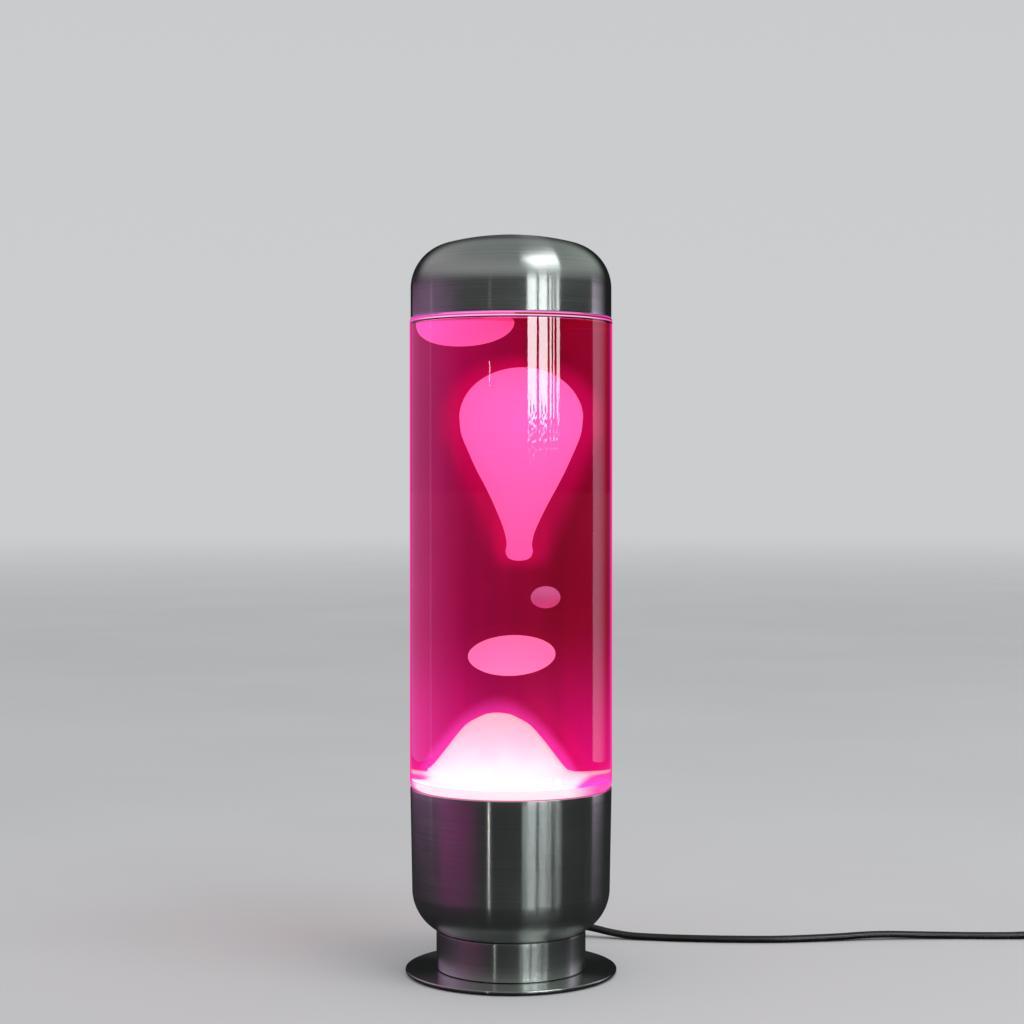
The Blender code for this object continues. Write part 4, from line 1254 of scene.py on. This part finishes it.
def panel(name, azimuth, width, bottom, top, distance, radiance, colour=(1.0, 1.0, 1.0)):
    """An upright soft light that faces the lamp. Azimuth is in degrees to the right of the camera."""
    data = bpy.data.lights.new(name, "AREA")
    data.shape = "RECTANGLE"
    data.size = width
    data.size_y = top - bottom
    data.energy = radiance * math.pi * width * (top - bottom)
    data.color = colour
    light = bpy.data.objects.new(name, data)
    angle = math.radians(azimuth)
    light.location = (distance * math.sin(angle), -distance * math.cos(angle), (top + bottom) / 2)
    light.rotation_euler = (math.radians(90), 0, angle)
    light.visible_camera = False
    light.visible_transmission = False
    bpy.context.scene.collection.objects.link(light)
    return light


def slat(name, azimuth, width, radiance):
    """A pane of the window, for the steel and glass to mirror. Its lower part breaks up into flecks
    and its upper part is dimmer."""
    light = panel(name, azimuth, width, 0.25, 0.70, WINDOW_DISTANCE, radiance, (0.94, 0.98, 1.0))
    light.visible_diffuse = False

    def flecked(place):
        up = split(place)[1]
        flecks = grain(stretched(place, 14 * width, 70, 1))
        level = spread(up, 0.0, 0.38, 1.0, 0.0) - spread(flecks, 0.3, 0.7, 0.0, 1.0, "LINEAR")
        return spread(level, 0.05, -0.01) * spread(up, 0.5, 0.6, 1.0, 0.12)

    patterned(light, flecked)


def card(name, azimuth, width, bottom, top, radiance, colour, soft=0):
    """A bounce card close to the lamp, for its glass and steel to mirror; it lights nothing matt.

    Soft says towards which side its light dies away: 1 for its own right, 2 for both.
    """
    light = panel(name, azimuth, width, bottom, top, CARD_DISTANCE, radiance, colour)
    light.visible_diffuse = False

    def fading(place):
        across = split(place)[0]
        if soft == 2:
            return spread(abs(across - 0.5), 0.5, 0.1)
        return spread(across, 1.0, 0.0)

    if soft:
        patterned(light, fading)


def build_floor():
    shape = bmesh.new()
    bmesh.ops.create_circle(shape, cap_ends=True, segments=96, radius=40.0)
    floor = finished("floor", shape)
    finish, tree, where = begin("pale_floor")
    # Painted shade in reflections: what the steel and glass mirror of the floor and its haze is painted near
    # black.
    mirrored = add(tree, "LightPath", None, "Is Glossy Ray")
    tone = spread(grain(where, 2.5, 3.0), 0.3, 0.7)
    seen = blend(tone, (0.76, 0.76, 0.76), (0.79, 0.79, 0.79))
    inputs = {"Base Color": blend(mirrored, seen, (0.04, 0.043, 0.043)), "Roughness": 0.85}
    inputs |= {"Specular IOR Level": 0.03, "Normal": bump(grain(where, 900.0, 3.0), 0.1, 0.0002)}
    haze = add(tree, "Emission", {"Color": blend(mirrored, BACKDROP, (0.045, 0.047, 0.047))})
    far = spread(length(where), 1.2, 9.0)
    shader = add(tree, "MixShader", {0: far, 1: add(tree, "BsdfPrincipled", inputs), 2: haze})
    output(tree, "Material", Surface=shader)
    floor.data.materials.append(finish)


def build_room():
    """The pale room round the lamp; the lamp's steel mirrors a darker one, with a floor and a back."""
    world = bpy.data.worlds.new("studio")
    bpy.context.scene.world = world
    world.use_nodes = True
    tree = world.node_tree
    tree.nodes.clear()
    x, y, up = split(add(tree, "TexCoord", None, "Generated"))
    wall = blend(spread(up, 0.0, 0.9), BACKDROP, (0.52, 0.53, 0.54))
    sides = blend(spread(x, -0.3, 0.3), (0.47, 0.45, 0.47), (0.46, 0.50, 0.48))
    room = blend(spread(up, 0.16, 0.42), (0.02, 0.022, 0.022), sides)
    room = blend(spread(up, 0.5, 0.95), room, (0.3, 0.325, 0.315))
    room = blend(spread(y, 0.6, 0.88), room, (0.015, 0.017, 0.017))
    colour = blend(add(tree, "LightPath", None, "Is Glossy Ray"), wall, room)
    output(tree, "World", Surface=add(tree, "Background", {"Color": colour, "Strength": 1.0}))


def build_lights():
    slats = [(23.4, 0.36, 10.0), (36.0, 0.33, 10.0), (44.5, 0.08, 9.0), (48.4, 0.05, 8.0), (53.6, 0.13, 7.0)]
    for number, (azimuth, width, radiance) in enumerate(slats, 1):
        slat(f"window_{number}", azimuth, width, radiance)
    panel("gap_left", -23.5, 0.014, 0.375, 0.41, WINDOW_DISTANCE, 14.0)
    card("strip_left", -23.5, 0.004, 0.002, 0.035, 26.0, (1.0, 0.98, 0.95))
    card("card_left", -122.0, 0.40, 0.05, 0.36, 0.42, (1.0, 0.45, 0.95))
    card("card_left_front", -73.0, 0.42, 0.05, 0.36, 0.36, (1.0, 0.4, 0.95), 1)
    card("card_right", 117.0, 0.25, 0.05, 0.36, 1.1, (1.0, 0.8, 1.05), 1)
    card("glow_left", -63.0, 0.6, 0.0, 0.022, 1.1, (1.0, 0.02, 0.6), 2)
    low_panes = [(19.0, 0.105, 1.9), (36.5, 0.10, 1.4), (52.0, 0.06, 0.8)]
    for number, (azimuth, width, radiance) in enumerate(low_panes, 1):
        card(f"window_low_{number}", azimuth, width, 0.0, 0.035, radiance, (0.9, 1.0, 1.0))
    key = panel("ceiling", 50.0, 1.5, 0.0, 1.4, 1.7, 3.2, (0.95, 0.98, 1.0))
    key.location.z = 2.3
    key.rotation_euler = (0, 0, math.radians(50))
    bpy.context.scene.view_settings.view_transform = "Standard"


build_camera()
build_relief()
build_switch()
build_rocker()
build_plug()
build_lead()
build_bowl()
build_cap()
build_foot()
build_vessel()
build_liquid()
build_balloon()
build_bead_and_lens()
build_pool()
build_mound()
build_seats()
build_holder()
build_bulb()
build_screws()
finish_nodes()
build_floor()
build_room()
build_lights()
